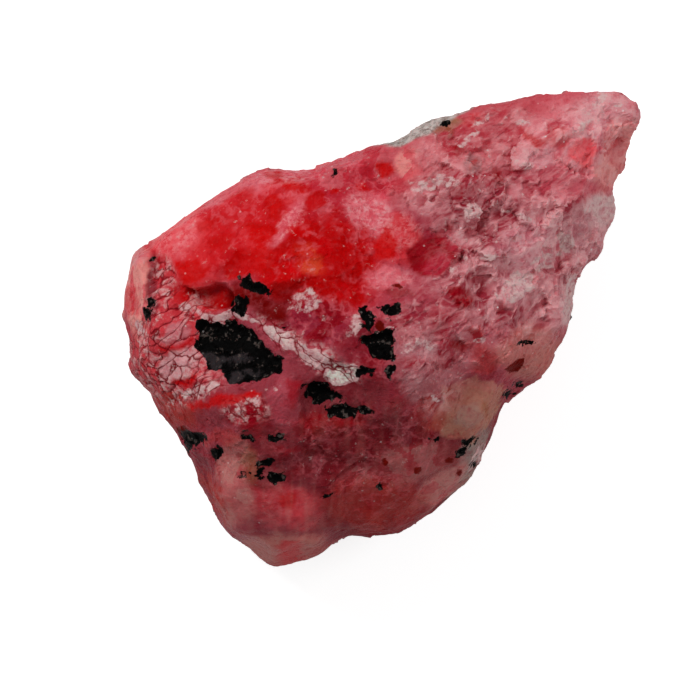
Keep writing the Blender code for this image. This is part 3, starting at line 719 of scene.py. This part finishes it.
def grainCells():
    # flat faces, one to a cell: each leans its own way and stands a little higher or lower
    tree = bpy.data.node_groups.new("grain cells", "GeometryNodeTree")
    words = [(word, "NodeSocketFloat", 1.0) for word in ("Size", "Tilt", "Step", "Bowl")]
    given, result = groupSockets(
        tree, [("Place", "NodeSocketVector", None)] + words,
        [("Relief", "NodeSocketFloat"), ("Shade", "NodeSocketFloat")])
    place = vectorCalc(tree, "SCALE", given["Place"], scale=calc(tree, "DIVIDE", 1.0, given["Size"]))
    cells = addNode(tree, "ShaderNodeTexVoronoi", {"Vector": place, "Scale": 1.0})
    local = vectorCalc(tree, "SUBTRACT", place, cells.outputs["Position"])
    lean = vectorCalc(tree, "SUBTRACT", cells.outputs["Color"], (0.5, 0.5, 0.5))
    slope = calc(tree, "MULTIPLY", vectorCalc(tree, "DOT_PRODUCT", local, lean), 2.0)
    sides = addNode(tree, "ShaderNodeSeparateXYZ", {"Vector": lean})
    level = calc(tree, "MULTIPLY", sides.outputs["X"], given["Step"])
    relief = calc(tree, "MULTIPLY_ADD", slope, given["Tilt"], level)
    scoop = calc(tree, "SUBTRACT", calc(tree, "POWER", cells.outputs["Distance"], 2.0), 0.25)
    feed(tree, result["Relief"], calc(tree, "MULTIPLY_ADD", scoop, given["Bowl"], relief))
    feed(tree, result["Shade"], calc(tree, "ADD", sides.outputs["Y"], 0.5))
    return tree


def meshShare(tree, name):
    read = addNode(tree, "GeometryNodeInputNamedAttribute", data_type="FLOAT")
    read.inputs["Name"].default_value = name
    return read.outputs["Attribute"]


def keepPatterns(tree, geometry, patterns, kind="FLOAT"):
    for name, value in patterns.items():
        kept = addNode(tree, "GeometryNodeStoreNamedAttribute", {"Geometry": geometry, "Name": name},
                       data_type=kind, domain="POINT")
        feed(tree, kept.inputs["Value"], value)
        geometry = kept.outputs[0]
    return geometry


# Noises that bend the places of a pattern: scale, reach, detail.
bends = {"flakes": (0.4, 1.5, 1.0), "grain": (0.8, 0.9, 1.5), "wisps": (0.35, 2.6, 2.0)}
# Noises of the relief and of the patterns that the finish reads: scale, detail, roughness.
noises = {
    "fine": (1.6, 3.0, 0.6), "clouds": (1.3, 5.0, 0.65), "bruise": (1.6, 5.0, 0.7),
    "broad": (0.45, 3.0, 0.5), "streaks": (1.0, 4.0, 0.5), "bands": (0.8, 4.0, 0.6),
}
# How much of each relief shows where its share is 0 and where it is 1.
shows = {"flakes": (0.25, 1.0), "chips": (0.4, 1.0), "rough": (0.12, 1.0)}
grooveWidth = 0.13
grainScale = 0.75
streakStretch = (2.2, 0.35, 0.5)
wispRun = {"turn": -0.45, "stretch": (0.42, 1.3, 1.0)}
ledgeAcross = (0.62, -0.70, 0.35)
reliefWords = ("Flake Size", "Flake Tilt", "Flake Step", "Flake Bowl",
               "Chip Size", "Chip Tilt", "Chip Step", "Chip Bowl",
               "Ledge Spacing", "Ledge Height", "Crack Size", "Crack Depth", "Roughness", "Seed")


def brokenSurface(cells):
    # the tree that breaks the smooth lump into flakes, chips, ledges and cracks
    tree = bpy.data.node_groups.new("broken surface", "GeometryNodeTree")
    words = [(word, "NodeSocketFloat", 1.0) for word in reliefWords]
    given, result = groupSockets(
        tree,
        [("Geometry", "NodeSocketGeometry", None)] + words + [("Material", "NodeSocketMaterial", None)],
        [("Geometry", "NodeSocketGeometry")])

    def brokenCells(place, kind):
        made = addNode(tree, "GeometryNodeGroup", node_tree=cells)
        feed(tree, made.inputs["Place"], place)
        for word in ("Size", "Tilt", "Step", "Bowl"):
            feed(tree, made.inputs[word], given[f"{kind} {word}"])
        return made.outputs["Relief"], made.outputs["Shade"]

    place = addNode(tree, "GeometryNodeInputPosition").outputs[0]
    place = vectorCalc(tree, "SCALE", place, scale=1.0 / mm)
    shift = addNode(tree, "ShaderNodeCombineXYZ", {"X": given["Seed"], "Y": 0.0, "Z": 0.0})
    plates = platePlace(tree, place, given["Crack Size"])
    bent = bentPlace(tree, vectorCalc(tree, "ADD", place, shift.outputs[0]), *bends["flakes"])
    grain = bentPlace(tree, place, *bends["grain"])
    wisps = turnedAbout(tree, bentPlace(tree, place, *bends["wisps"]), wispRun["turn"])
    wisps = vectorCalc(tree, "MULTIPLY", wisps, wispRun["stretch"])

    flakes, flakeShade = brokenCells(bent, "Flake")
    chips, chipShade = brokenCells(bent, "Chip")
    run = vectorCalc(tree, "DOT_PRODUCT", bent, ledgeAcross)
    ledge = calc(tree, "FRACT", calc(tree, "DIVIDE", run, given["Ledge Spacing"]))
    ledge = calc(tree, "MULTIPLY", calc(tree, "SUBTRACT", ledge, 0.5), given["Ledge Height"])

    cracks = addNode(tree, "ShaderNodeTexVoronoi", {"Vector": plates, "Scale": 1.0},
                     feature="DISTANCE_TO_EDGE")
    groove = ramp(tree, cracks.outputs["Distance"], 0.0, grooveWidth, -1.0, 0.0)
    groove = calc(tree, "MULTIPLY", groove, given["Crack Depth"])
    fine = calc(tree, "SUBTRACT", softNoise(tree, place, *noises["fine"]), 0.5)
    fine = calc(tree, "MULTIPLY", fine, given["Roughness"])

    def shown(kind, share):
        without, within = shows[kind]
        return calc(tree, "MULTIPLY_ADD", share, within - without, without)

    rough = calc(tree, "SUBTRACT", 1.0, meshShare(tree, "smooth"))
    broken = shown("flakes", meshShare(tree, "flakes"))
    relief = calc(tree, "MULTIPLY", calc(tree, "ADD", flakes, ledge), broken)
    chipped = shown("chips", meshShare(tree, "flakes"))
    relief = calc(tree, "MULTIPLY_ADD", chips, chipped, relief)
    relief = calc(tree, "MULTIPLY", relief, shown("rough", rough))
    relief = calc(tree, "MULTIPLY_ADD", groove, meshShare(tree, "frost"), relief)
    relief = calc(tree, "MULTIPLY_ADD", fine, 2.0, relief)
    relief = calc(tree, "MULTIPLY", relief, meshShare(tree, "free"))
    relief = calc(tree, "MULTIPLY", calc(tree, "SUBTRACT", relief, meshShare(tree, "sunk")), mm)

    along = vectorCalc(tree, "SCALE", addNode(tree, "GeometryNodeInputNormal").outputs[0], scale=relief)
    moved = addNode(tree, "GeometryNodeSetPosition", {"Geometry": given["Geometry"], "Offset": along})
    # soft patterns that the finish reads, broad enough to be kept on the mesh
    crystals = addNode(tree, "ShaderNodeTexVoronoi", {"Vector": grain, "Scale": grainScale})
    pick = addNode(tree, "ShaderNodeSeparateXYZ", {"Vector": crystals.outputs["Color"]})
    platePick = addNode(tree, "ShaderNodeTexVoronoi", {"Vector": plates, "Scale": 1.0})
    platePick = addNode(tree, "ShaderNodeSeparateXYZ", {"Vector": platePick.outputs["Color"]})
    streaked = vectorCalc(tree, "MULTIPLY", place, streakStretch)
    geometry = keepPatterns(tree, moved.outputs[0], {
        "clouds": softNoise(tree, bent, *noises["clouds"]),
        "bruise": softNoise(tree, place, *noises["bruise"]),
        "broad": softNoise(tree, bent, *noises["broad"]),
        "streaks": softNoise(tree, streaked, *noises["streaks"]),
        "bands": softNoise(tree, wisps, *noises["bands"]),
        "crystals": pick.outputs["X"],
        "flakeShade": flakeShade,
        "chipShade": chipShade,
        "plateShade": platePick.outputs["Y"],
    })
    geometry = keepPatterns(
        tree, geometry, {"platePlace": plates, "grainPlace": grain, "wispPlace": wisps}, "FLOAT_VECTOR")
    real = addNode(tree, "GeometryNodeRealizeInstances", {"Geometry": geometry})
    dressed = addNode(tree, "GeometryNodeSetMaterial",
                      {"Geometry": real.outputs[0], "Material": given["Material"]})
    feed(tree, result["Geometry"], dressed.outputs[0])
    return tree


def spread(values, edges, count):
    # each vertex gets the mean of its neighbours
    total = np.zeros_like(values)
    for first, second in (edges.T, edges.T[::-1]):
        for column in range(values.shape[1]):
            total[:, column] += np.bincount(first, values[second, column], len(values))
    return total / count[:, None]


def bulge(mesh, reach):
    # above 0 on ridges and corners, below 0 in hollows
    edges = np.empty(len(mesh.edges) * 2, np.int32)
    mesh.edges.foreach_get("vertices", edges)
    edges = edges.reshape(-1, 2)
    points = pointsOf(mesh)
    count = np.bincount(edges.ravel(), minlength=len(points)).astype(float)
    softened = points.copy()
    for step in range(reach):
        softened = spread(softened, edges, count)
    return ((points - softened) * normalsOf(mesh)).sum(axis=1)


def makeSkin(node, material):
    mesh = node.data.copy()
    work = bmesh.new()
    work.from_mesh(mesh)
    bmesh.ops.remove_doubles(work, verts=work.verts, dist=1e-7)
    work.to_mesh(mesh)
    work.free()
    mesh.materials.clear()
    obj = bpy.data.objects.new("stone", mesh)
    bpy.context.scene.collection.objects.link(obj)

    even = obj.modifiers.new("even faces", "REMESH")
    even.mode = "VOXEL"
    even.voxel_size = skin["voxel"] * mm
    soft = obj.modifiers.new("soft facets", "SMOOTH")
    soft.iterations = skin["softening"]
    applied(obj, even, soft)

    points = pointsOf(obj.data)
    plan = wandering(points, "breaks")
    hidden = 1.0 - smoothStep(*fades["sight"], normalsOf(obj.data)[:, 2])
    storeShare(obj.data, "hidden", hidden)
    storeShare(obj.data, "free", smoothStep(*fades["ground"], points[:, 2]))
    for name, ovals in breaks.items():
        storeShare(obj.data, name, breakShare(plan, hidden, ovals, outOfSight[name]))
    trench = smoothStep(*fades["trench"], outlineField(wandering(points, "trench"), trenchOutline))
    pitted = smoothStep(*fades["pit"], oxideField(asPhotographed(points)))
    hollow = sunk["trench"] * trench + sunk["oxide"] * pitted
    storeShare(obj.data, "sunk", hollow * (hidden < 0.5))

    tree = brokenSurface(grainCells())
    broken = obj.modifiers.new("broken surface", "NODES")
    broken.node_group = tree
    for item in tree.interface.items_tree:
        if item.in_out == "INPUT" and item.name in reliefWords:
            first, last = (item.name.split() + [""])[:2]
            broken[item.identifier] = float(skin[first.lower() + last])
        if item.in_out == "INPUT" and item.name == "Material":
            broken[item.identifier] = material
    applied(obj, broken)
    return obj


def paintSkin(mesh):
    points = pointsOf(mesh)
    seen = asPhotographed(points)
    plan = wandering(points, "zones")
    hidden = np.empty(len(points), np.float32)
    mesh.attributes["hidden"].data.foreach_get("value", hidden)
    inSight = hidden < sightEdge
    tint, pure = zoneTints(plan, hidden, points)
    storeTint(mesh, "zoneTint", tint)
    storeShare(mesh, "pure", pure)
    oxide = np.where(inSight, oxideField(wandering(points, "oxide")), farOff)
    storeShare(mesh, "oxideField", np.maximum(oxide, hiddenOxideField(points, hidden)))
    brown = np.maximum(ovalField(seen, brownSpots), outlineField(seen, brownOutline))
    storeShare(mesh, "brownField", np.where(inSight, brown, farOff))
    storeShare(mesh, "wornField", np.where(inSight, ovalField(plan, wornSpots), farOff))
    beyond = lineDistance(wandering(points, "rind"), rindLine)
    storeShare(mesh, "rind", smoothStep(*fades["rind"], beyond))
    storeShare(mesh, "ridge", bulge(mesh, skin["ridgeReach"]))
    storeShare(mesh, "rise", bulge(mesh, skin["riseReach"]))


# Finishes.

def milkyThreads():
    # thin milky threads, where a noise crosses its middle value
    tree = bpy.data.node_groups.new("milky threads", "ShaderNodeTree")
    given, result = groupSockets(
        tree,
        [("Place", "NodeSocketVector", None), ("Size", "NodeSocketFloat", 1.4),
         ("Width", "NodeSocketFloat", 0.04)],
        [("Threads", "NodeSocketFloat")])
    scale = calc(tree, "DIVIDE", 1.0, given["Size"])
    threads = softNoise(tree, given["Place"], scale, 3.0, 0.6)
    offLine = calc(tree, "ABSOLUTE", calc(tree, "SUBTRACT", threads, 0.5))
    feed(tree, result["Threads"], ramp(tree, offLine, given["Width"], 0.0))
    return tree


def cleavageCracks():
    # fine cracks between flat plates, wide in some places and a hair in others
    tree = bpy.data.node_groups.new("cleavage cracks", "ShaderNodeTree")
    given, result = groupSockets(
        tree,
        [("Place", "NodeSocketVector", None), ("Width", "NodeSocketFloat", 0.06)],
        [("Cracks", "NodeSocketFloat")])
    gaps = addNode(tree, "ShaderNodeTexVoronoi", {"Vector": given["Place"], "Scale": 1.0},
                   feature="DISTANCE_TO_EDGE")
    feed(tree, result["Cracks"], ramp(tree, gaps.outputs["Distance"], given["Width"], 0.0))
    return tree


def raggedEdge():
    # turns a field in mm into a mask with a crisp, ragged edge
    tree = bpy.data.node_groups.new("ragged edge", "ShaderNodeTree")
    given, result = groupSockets(
        tree,
        [("Field", "NodeSocketFloat", 0.0), ("Wander", "NodeSocketFloat", 0.5),
         ("Raggedness", "NodeSocketFloat", 0.5), ("Edge", "NodeSocketFloat", 0.05)],
        [("Mask", "NodeSocketFloat")])
    wander = calc(tree, "SUBTRACT", given["Wander"], 0.5)
    field = calc(tree, "MULTIPLY_ADD", wander, given["Raggedness"], given["Field"])
    inner = calc(tree, "MULTIPLY", given["Edge"], -1.0)
    feed(tree, result["Mask"], ramp(tree, field, inner, given["Edge"]))
    return tree


def groupNode(tree, group, **inputs):
    made = addNode(tree, "ShaderNodeGroup", node_tree=group)
    for name, value in inputs.items():
        feed(tree, made.inputs[name], value)
    return made.outputs


# Tints of the other minerals, linear, and of the painted highlights: the chalk-white of the brightest
# breaks, partly painted sheen, and the painted glints.
minerals = {
    "brown": (0.17, 0.004, 0.002, 1.0),
    "rindDark": (0.24, 0.18, 0.16, 1.0),
    "rindPale": (0.60, 0.50, 0.47, 1.0),
    "oxide": (0.0012, 0.001, 0.001, 1.0),
    "wornOxide": (0.034, 0.026, 0.028, 1.0),
    "oxideGrit": (0.12, 0.09, 0.08, 1.0),
    "chalk": (0.93, 0.90, 0.80, 1.0),
    "glint": (0.85, 0.74, 0.74, 1.0),
}
# How a tint is deepened where the stone is clearer, and as painted shade in hollows and in the low spots
# of the fine bump: it is multiplied by this.
deepening = {
    "clear": (0.88, 0.08, 0.22, 1.0),
    "fibre": (0.92, 0.42, 0.50, 1.0),
    "murk": (0.82, 0.28, 0.38, 1.0),
    "flake": (0.68, 0.24, 0.34, 1.0),
    "hollow": (0.76, 0.22, 0.30, 1.0),
    "mottle": (0.84, 0.50, 0.58, 1.0),
}
# The value of a pattern at which each thing starts to show, and the value at which it shows in full.
starts = {
    "clear": (0.50, 0.58), "cloud": (0.50, 0.70), "web": (0.38, 0.58), "fibre": (0.40, 0.62),
    "fibrePatch": (0.62, 0.42), "murk": (0.47, 0.32), "flake": (0.66, 0.94), "edge": (0.007, 0.055),
    "edgePatch": (0.44, 0.60), "hollow": (-0.02, -0.22), "plate": (0.56, 0.70),
    "pearlyPlate": (0.35, 0.65), "crack": (0.30, 0.50), "bruise": (0.72, 0.92), "chalk": (1.1, 1.4),
    "bruiseCore": (0.36, 0.62), "fleck": (0.60, 0.68), "fleckPatch": (0.42, 0.55),
    "streak": (0.4, 0.7), "mottle": (0.52, 0.36), "rind": (0.36, 0.62), "grit": (0.48, 0.55),
    "gritPatch": (0.55, 0.60), "facet": (0.22, 0.14), "glintPatch": (0.40, 0.52), "glint": (0.95, 0.97),
}
# Sizes (mm) and widths of the finer lines, and the noise under them all.
lines = {"threadSize": 1.6, "threadWidth": 0.06, "wispSize": 1.1, "wispWidth": 0.09, "crackWidth": 0.09}
fineNoise = {"scale": 2.2, "detail": 4.0, "roughness": 0.72}
facetScale = 2.4
grain = {"height": 0.22, "smoothHeight": 0.08, "strength": 0.9}
gloss = {"low": 0.22, "high": 0.42, "oxide": 0.1, "rind": 0.35}
body = {"ior": 1.5, "specular": 0.03, "subsurface": 0.22, "radius": (1.0, 0.18, 0.16), "depth": 0.8}


def colour(name, factor=1.0):
    return tuple(np.clip(tints[name] * factor, 0.0, 1.0)) + (1.0,)


def stoneFinish():
    material = bpy.data.materials.new("rough rhodonite")
    material.use_nodes = True
    tree = material.node_tree
    surface = tree.nodes["Principled BSDF"]

    def share(name, output="Fac"):
        return addNode(tree, "ShaderNodeAttribute", attribute_name=name).outputs[output]

    def times(first, *others):
        for other in others:
            first = calc(tree, "MULTIPLY", first, other)
        return first

    def fromTo(value, without, within):
        # one number where the share is 0, the other where it is 1
        return calc(tree, "MULTIPLY_ADD", value, within - without, without)

    def seenFrom(kind, value):
        return ramp(tree, value, *starts[kind])

    def deeper(kind, under):
        return mixColour(tree, 1.0, under, deepening[kind], "MULTIPLY")

    def laid(kind, amount, under):
        return mixColour(tree, amount, under, deeper(kind, under))

    coords = addNode(tree, "ShaderNodeTexCoord").outputs["Object"]
    place = vectorCalc(tree, "SCALE", coords, scale=1.0 / mm)
    wander = softNoise(tree, place, *fineNoise.values())
    threadGroup = milkyThreads()
    threads = groupNode(tree, threadGroup, Place=share("grainPlace", "Vector"),
                        Size=lines["threadSize"], Width=lines["threadWidth"])["Threads"]
    wisps = groupNode(tree, threadGroup, Place=share("wispPlace", "Vector"),
                      Size=lines["wispSize"], Width=lines["wispWidth"])["Threads"]
    edgeGroup = raggedEdge()
    veins, flakes, frost = share("veins"), share("flakes"), share("frost")
    hazy, milky, white, bruises = share("hazy"), share("milky"), share("white"), share("bruise")
    clouds = share("clouds")
    tint = share("zoneTint", "Color")
    cloudy = fromTo(share("pure"), 1.0, 0.1)

    # clear crystals are darker and purer, clouds and threads are milky
    clear = times(seenFrom("clear", share("crystals")), fromTo(veins, 0.1, 0.9), fromTo(milky, 1.0, 0.1))
    base = laid("clear", clear, tint)
    milk = mixColour(tree, 0.7, tint, colour("petal", 1.1))
    cloud = times(seenFrom("cloud", clouds), fromTo(veins, 0.02, 0.57), cloudy)
    base = mixColour(tree, cloud, base, milk)
    web = times(threads, fromTo(veins, 0.03, 0.53), seenFrom("web", share("broad")), cloudy)
    base = mixColour(tree, web, base, milk)
    fibres = mixColour(tree, seenFrom("fibre", wander), deeper("fibre", tint), colour("pale", 1.05))
    base = mixColour(tree, times(milky, seenFrom("fibrePatch", bruises), cloudy, 0.55), base, fibres)
    base = laid("murk", times(seenFrom("murk", clouds), fromTo(milky, 0.6, 0.1)), base)

    # broken flakes: each has its own lightness; thin edges are paler, partly their own colour and partly
    # a painted highlight, and hollows are deepened as painted shade
    ownLight = calc(tree, "ADD", times(share("flakeShade"), 0.25), times(share("chipShade"), 0.25))
    flakeLight = seenFrom("flake", calc(tree, "MULTIPLY_ADD", share("bands"), 1.1, ownLight))
    paleTint = mixColour(tree, 0.5, tint, colour("pale", 1.2))
    flakeTint = mixColour(tree, flakeLight, deeper("flake", tint), paleTint)
    base = mixColour(tree, times(flakes, fromTo(milky, 0.78, 0.53), cloudy), base, flakeTint)
    wispy = times(wisps, flakes, fromTo(share("pure"), 1.0, 0.4), 0.32)
    base = mixColour(tree, wispy, base, colour("pale", 1.1))
    # painted highlight: pale along ridges and thin edges, over the paler colour that thin edges have
    edge = times(seenFrom("edge", share("ridge")), fromTo(flakes, 0.06, 0.56), cloudy,
                 seenFrom("edgePatch", bruises))
    base = mixColour(tree, edge, base, colour("pale", 1.15))
    # painted shade: the tint is deepened in the hollows of the broken surface
    base = laid("hollow", times(seenFrom("hollow", share("rise")), 0.7), base)

    # pale cracked plates, partly their own frosty colour and partly painted sheen where the glossy
    # plates would mirror the light, with the red between them and in their cracks
    cracks = groupNode(tree, cleavageCracks(), Place=share("platePlace", "Vector"),
                       Width=lines["crackWidth"])["Cracks"]
    plate = calc(tree, "ADD", times(share("plateShade"), 0.34), times(wander, 0.14))
    plate = calc(tree, "MULTIPLY_ADD", bruises, 0.8, plate)
    plateAndSheenTint = mixColour(tree, seenFrom("pearlyPlate", wander), colour("blush"), colour("pearl"))
    base = mixColour(tree, times(seenFrom("plate", plate), frost, cloudy, 0.78), base, plateAndSheenTint)
    base = mixColour(tree, times(cracks, frost, seenFrom("crack", clouds)), base, colour("crimson", 0.6))

    # white breaks, partly pale fracture and partly painted sheen and highlights where glossy breaks
    # would mirror the light, chalk-white where they are strongest
    bruise = calc(tree, "MULTIPLY_ADD", white, 0.55, bruises)
    bruise = calc(tree, "ADD", bruise, times(calc(tree, "SUBTRACT", wander, 0.5), 0.6))
    bruise = times(seenFrom("bruise", bruise), calc(tree, "MULTIPLY", white, 2.5, clamp=True))
    bruise = times(bruise, fromTo(times(cracks, frost), 0.95, 0.0))
    whitest = mixColour(tree, seenFrom("chalk", white), colour("pearl"), minerals["chalk"])
    whiteBreakAndSheenTint = mixColour(tree, seenFrom("bruiseCore", wander), colour("pale", 0.8), whitest)
    base = mixColour(tree, bruise, base, whiteBreakAndSheenTint)

    # painted highlights: small pale flecks standing in for glints wherever the surface is broken
    broken = calc(tree, "MAXIMUM", calc(tree, "MAXIMUM", flakes, times(veins, 0.8)), frost)
    fleck = times(seenFrom("fleck", wander), fromTo(broken, 0.05, 0.65), seenFrom("fleckPatch", bruises),
                  cloudy)
    base = mixColour(tree, fleck, base, colour("frosty", 0.9))

    # haze with faint streaks on the near slope, and fine mottling with painted shade in the low spots of
    # the fine bump
    streaks = times(seenFrom("streak", share("streaks")), hazy, 0.15)
    base = mixColour(tree, streaks, base, colour("haze"))
    # painted shade: deeper where the fine bump lies low, over a random mottle
    base = laid("mottle", times(seenFrom("mottle", wander), 0.45), base)

    # brown inclusions, the grey rind, worn plates and the black oxide
    def patch(field, raggedness, edgeWidth):
        made = groupNode(tree, edgeGroup, Field=share(field), Wander=wander,
                         Raggedness=raggedness, Edge=edgeWidth)
        return made["Mask"]

    base = mixColour(tree, patch("brownField", 0.5, 0.05), base, minerals["brown"])
    rind = share("rind")
    rindTint = mixColour(tree, seenFrom("rind", wander), minerals["rindDark"], minerals["rindPale"])
    base = mixColour(tree, rind, base, rindTint)
    oxide = patch("oxideField", 0.8, 0.03)
    worn = times(patch("wornField", 0.8, 0.1), 0.9)
    grit = times(seenFrom("grit", bruises), seenFrom("gritPatch", wander), 0.7)
    oxideTint = mixColour(tree, worn, minerals["oxide"], minerals["wornOxide"])
    oxideTint = mixColour(tree, grit, oxideTint, minerals["oxideGrit"])
    base = mixColour(tree, oxide, base, oxideTint)

    # small facets below the size of the mesh's faces, a few of them painted white as glints of light
    # (painted highlights), more often but fainter on the oxide
    facets = addNode(tree, "ShaderNodeTexVoronoi", {"Vector": place, "Scale": facetScale})
    glint = times(seenFrom("facet", facets.outputs["Distance"]), fromTo(flakes, 0.3, 0.8))
    glint = times(glint, seenFrom("glintPatch", wander))
    lot = addNode(tree, "ShaderNodeSeparateXYZ", {"Vector": facets.outputs["Color"]}).outputs["X"]
    lot = calc(tree, "MULTIPLY_ADD", oxide, 0.12, lot)
    glint = times(glint, seenFrom("glint", lot), fromTo(oxide, 1.0, 0.5))
    base = mixColour(tree, glint, base, minerals["glint"])
    feed(tree, surface.inputs["Base Color"], base)

    height = times(wander, fromTo(share("smooth"), grain["height"], grain["smoothHeight"]), mm)
    bump = addNode(tree, "ShaderNodeBump", {
        "Height": height, "Strength": grain["strength"], "Distance": 1.0})
    feed(tree, surface.inputs["Normal"], bump.outputs[0])

    # glassy on fresh breaks, pearly on plates, dull on rind and oxide
    rough = ramp(tree, wander, 0.3, 0.7, gloss["low"], gloss["high"])
    rough = calc(tree, "MULTIPLY_ADD", oxide, gloss["oxide"], rough)
    feed(tree, surface.inputs["Roughness"], calc(tree, "MULTIPLY_ADD", rind, gloss["rind"], rough))

    surface.inputs["IOR"].default_value = body["ior"]
    surface.inputs["Specular IOR Level"].default_value = body["specular"]
    surface.inputs["Subsurface Weight"].default_value = body["subsurface"]
    surface.inputs["Subsurface Radius"].default_value = body["radius"]
    surface.inputs["Subsurface Scale"].default_value = body["depth"] * mm
    return material


print("stone: finish")
finish = stoneFinish()
print("stone: skin")
stone = makeSkin(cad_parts["rhodonite"], finish)
paintSkin(stone.data)
print("stone:", sum(len(face.vertices) - 2 for face in stone.data.polygons), "triangles")
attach(stone, "root")
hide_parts("rhodonite")


# Floor, light and camera.

studio = {
    "floorSize": 900.0,
    "floorTint": (0.62, 0.62, 0.62, 1.0),
    "floorGlow": 0.75,
    "worldStrength": 0.42,
    "overhead": 0.5,
    "keyPlace": (-140.0, 150.0, 200.0),
    "keySize": 100.0,
    "keyPower": 0.40,
    "fillPlace": (190.0, 60.0, 170.0),
    "fillSize": 120.0,
    "fillPower": 0.17,
}


def makeFloor():
    work = bmesh.new()
    bmesh.ops.create_grid(work, x_segments=1, y_segments=1, size=studio["floorSize"] / 2 * mm)
    mesh = bpy.data.meshes.new("floor")
    work.to_mesh(mesh)
    work.free()
    floor = bpy.data.objects.new("floor", mesh)
    bpy.context.scene.collection.objects.link(floor)
    material = bpy.data.materials.new("pale floor")
    material.use_nodes = True
    surface = material.node_tree.nodes["Principled BSDF"]
    surface.inputs["Base Color"].default_value = studio["floorTint"]
    surface.inputs["Roughness"].default_value = 0.9
    surface.inputs["Specular IOR Level"].default_value = 0.0
    surface.inputs["Emission Color"].default_value = (1.0, 1.0, 1.0, 1.0)
    # the camera sees the floor as a bright sheet, the stone gets less of that light from below
    tree = material.node_tree
    seen = addNode(tree, "ShaderNodeLightPath").outputs["Is Camera Ray"]
    feed(tree, surface.inputs["Emission Strength"], calc(tree, "MULTIPLY", seen, studio["floorGlow"]))
    mesh.materials.append(material)


def makeLight(name, place, size, power):
    lamp = bpy.data.lights.new(name, "AREA")
    lamp.shape = "DISK"
    lamp.size = size * mm
    lamp.energy = power
    obj = bpy.data.objects.new(name, lamp)
    obj.location = Vector(place) * mm
    aim = Vector((0.0, 0.0, photo["level"] * mm)) - obj.location
    obj.rotation_euler = aim.to_track_quat("-Z", "Y").to_euler()
    bpy.context.scene.collection.objects.link(obj)


def makeCamera():
    camera = bpy.data.cameras.new("camera")
    camera.lens = photo["lens"]
    camera.sensor_width = photo["sensor"]
    camera.clip_start = 0.01
    obj = bpy.data.objects.new("camera", camera)
    obj.location = Vector((*photo["middle"], photo["level"] + photoDistance)) * mm
    bpy.context.scene.collection.objects.link(obj)
    bpy.context.scene.camera = obj


def makeWorld():
    # bright round about and darker overhead, where the camera and its stand hang
    world = bpy.data.worlds.new("studio")
    world.use_nodes = True
    tree = world.node_tree
    back = tree.nodes["Background"]
    around = addNode(tree, "ShaderNodeTexCoord").outputs["Generated"]
    sides = addNode(tree, "ShaderNodeSeparateXYZ", {"Vector": around})
    shade = ramp(tree, sides.outputs["Z"], 0.45, 0.9, 1.0, studio["overhead"])
    feed(tree, back.inputs["Color"], addNode(
        tree, "ShaderNodeCombineColor", {"Red": shade, "Green": shade, "Blue": shade}).outputs[0])
    back.inputs["Strength"].default_value = studio["worldStrength"]
    bpy.context.scene.world = world


print("studio")
makeFloor()
makeLight("key light", studio["keyPlace"], studio["keySize"], studio["keyPower"])
makeLight("fill light", studio["fillPlace"], studio["fillSize"], studio["fillPower"])
makeCamera()
makeWorld()
bpy.context.scene.view_settings.view_transform = "Standard"
bpy.context.scene.view_settings.look = "None"
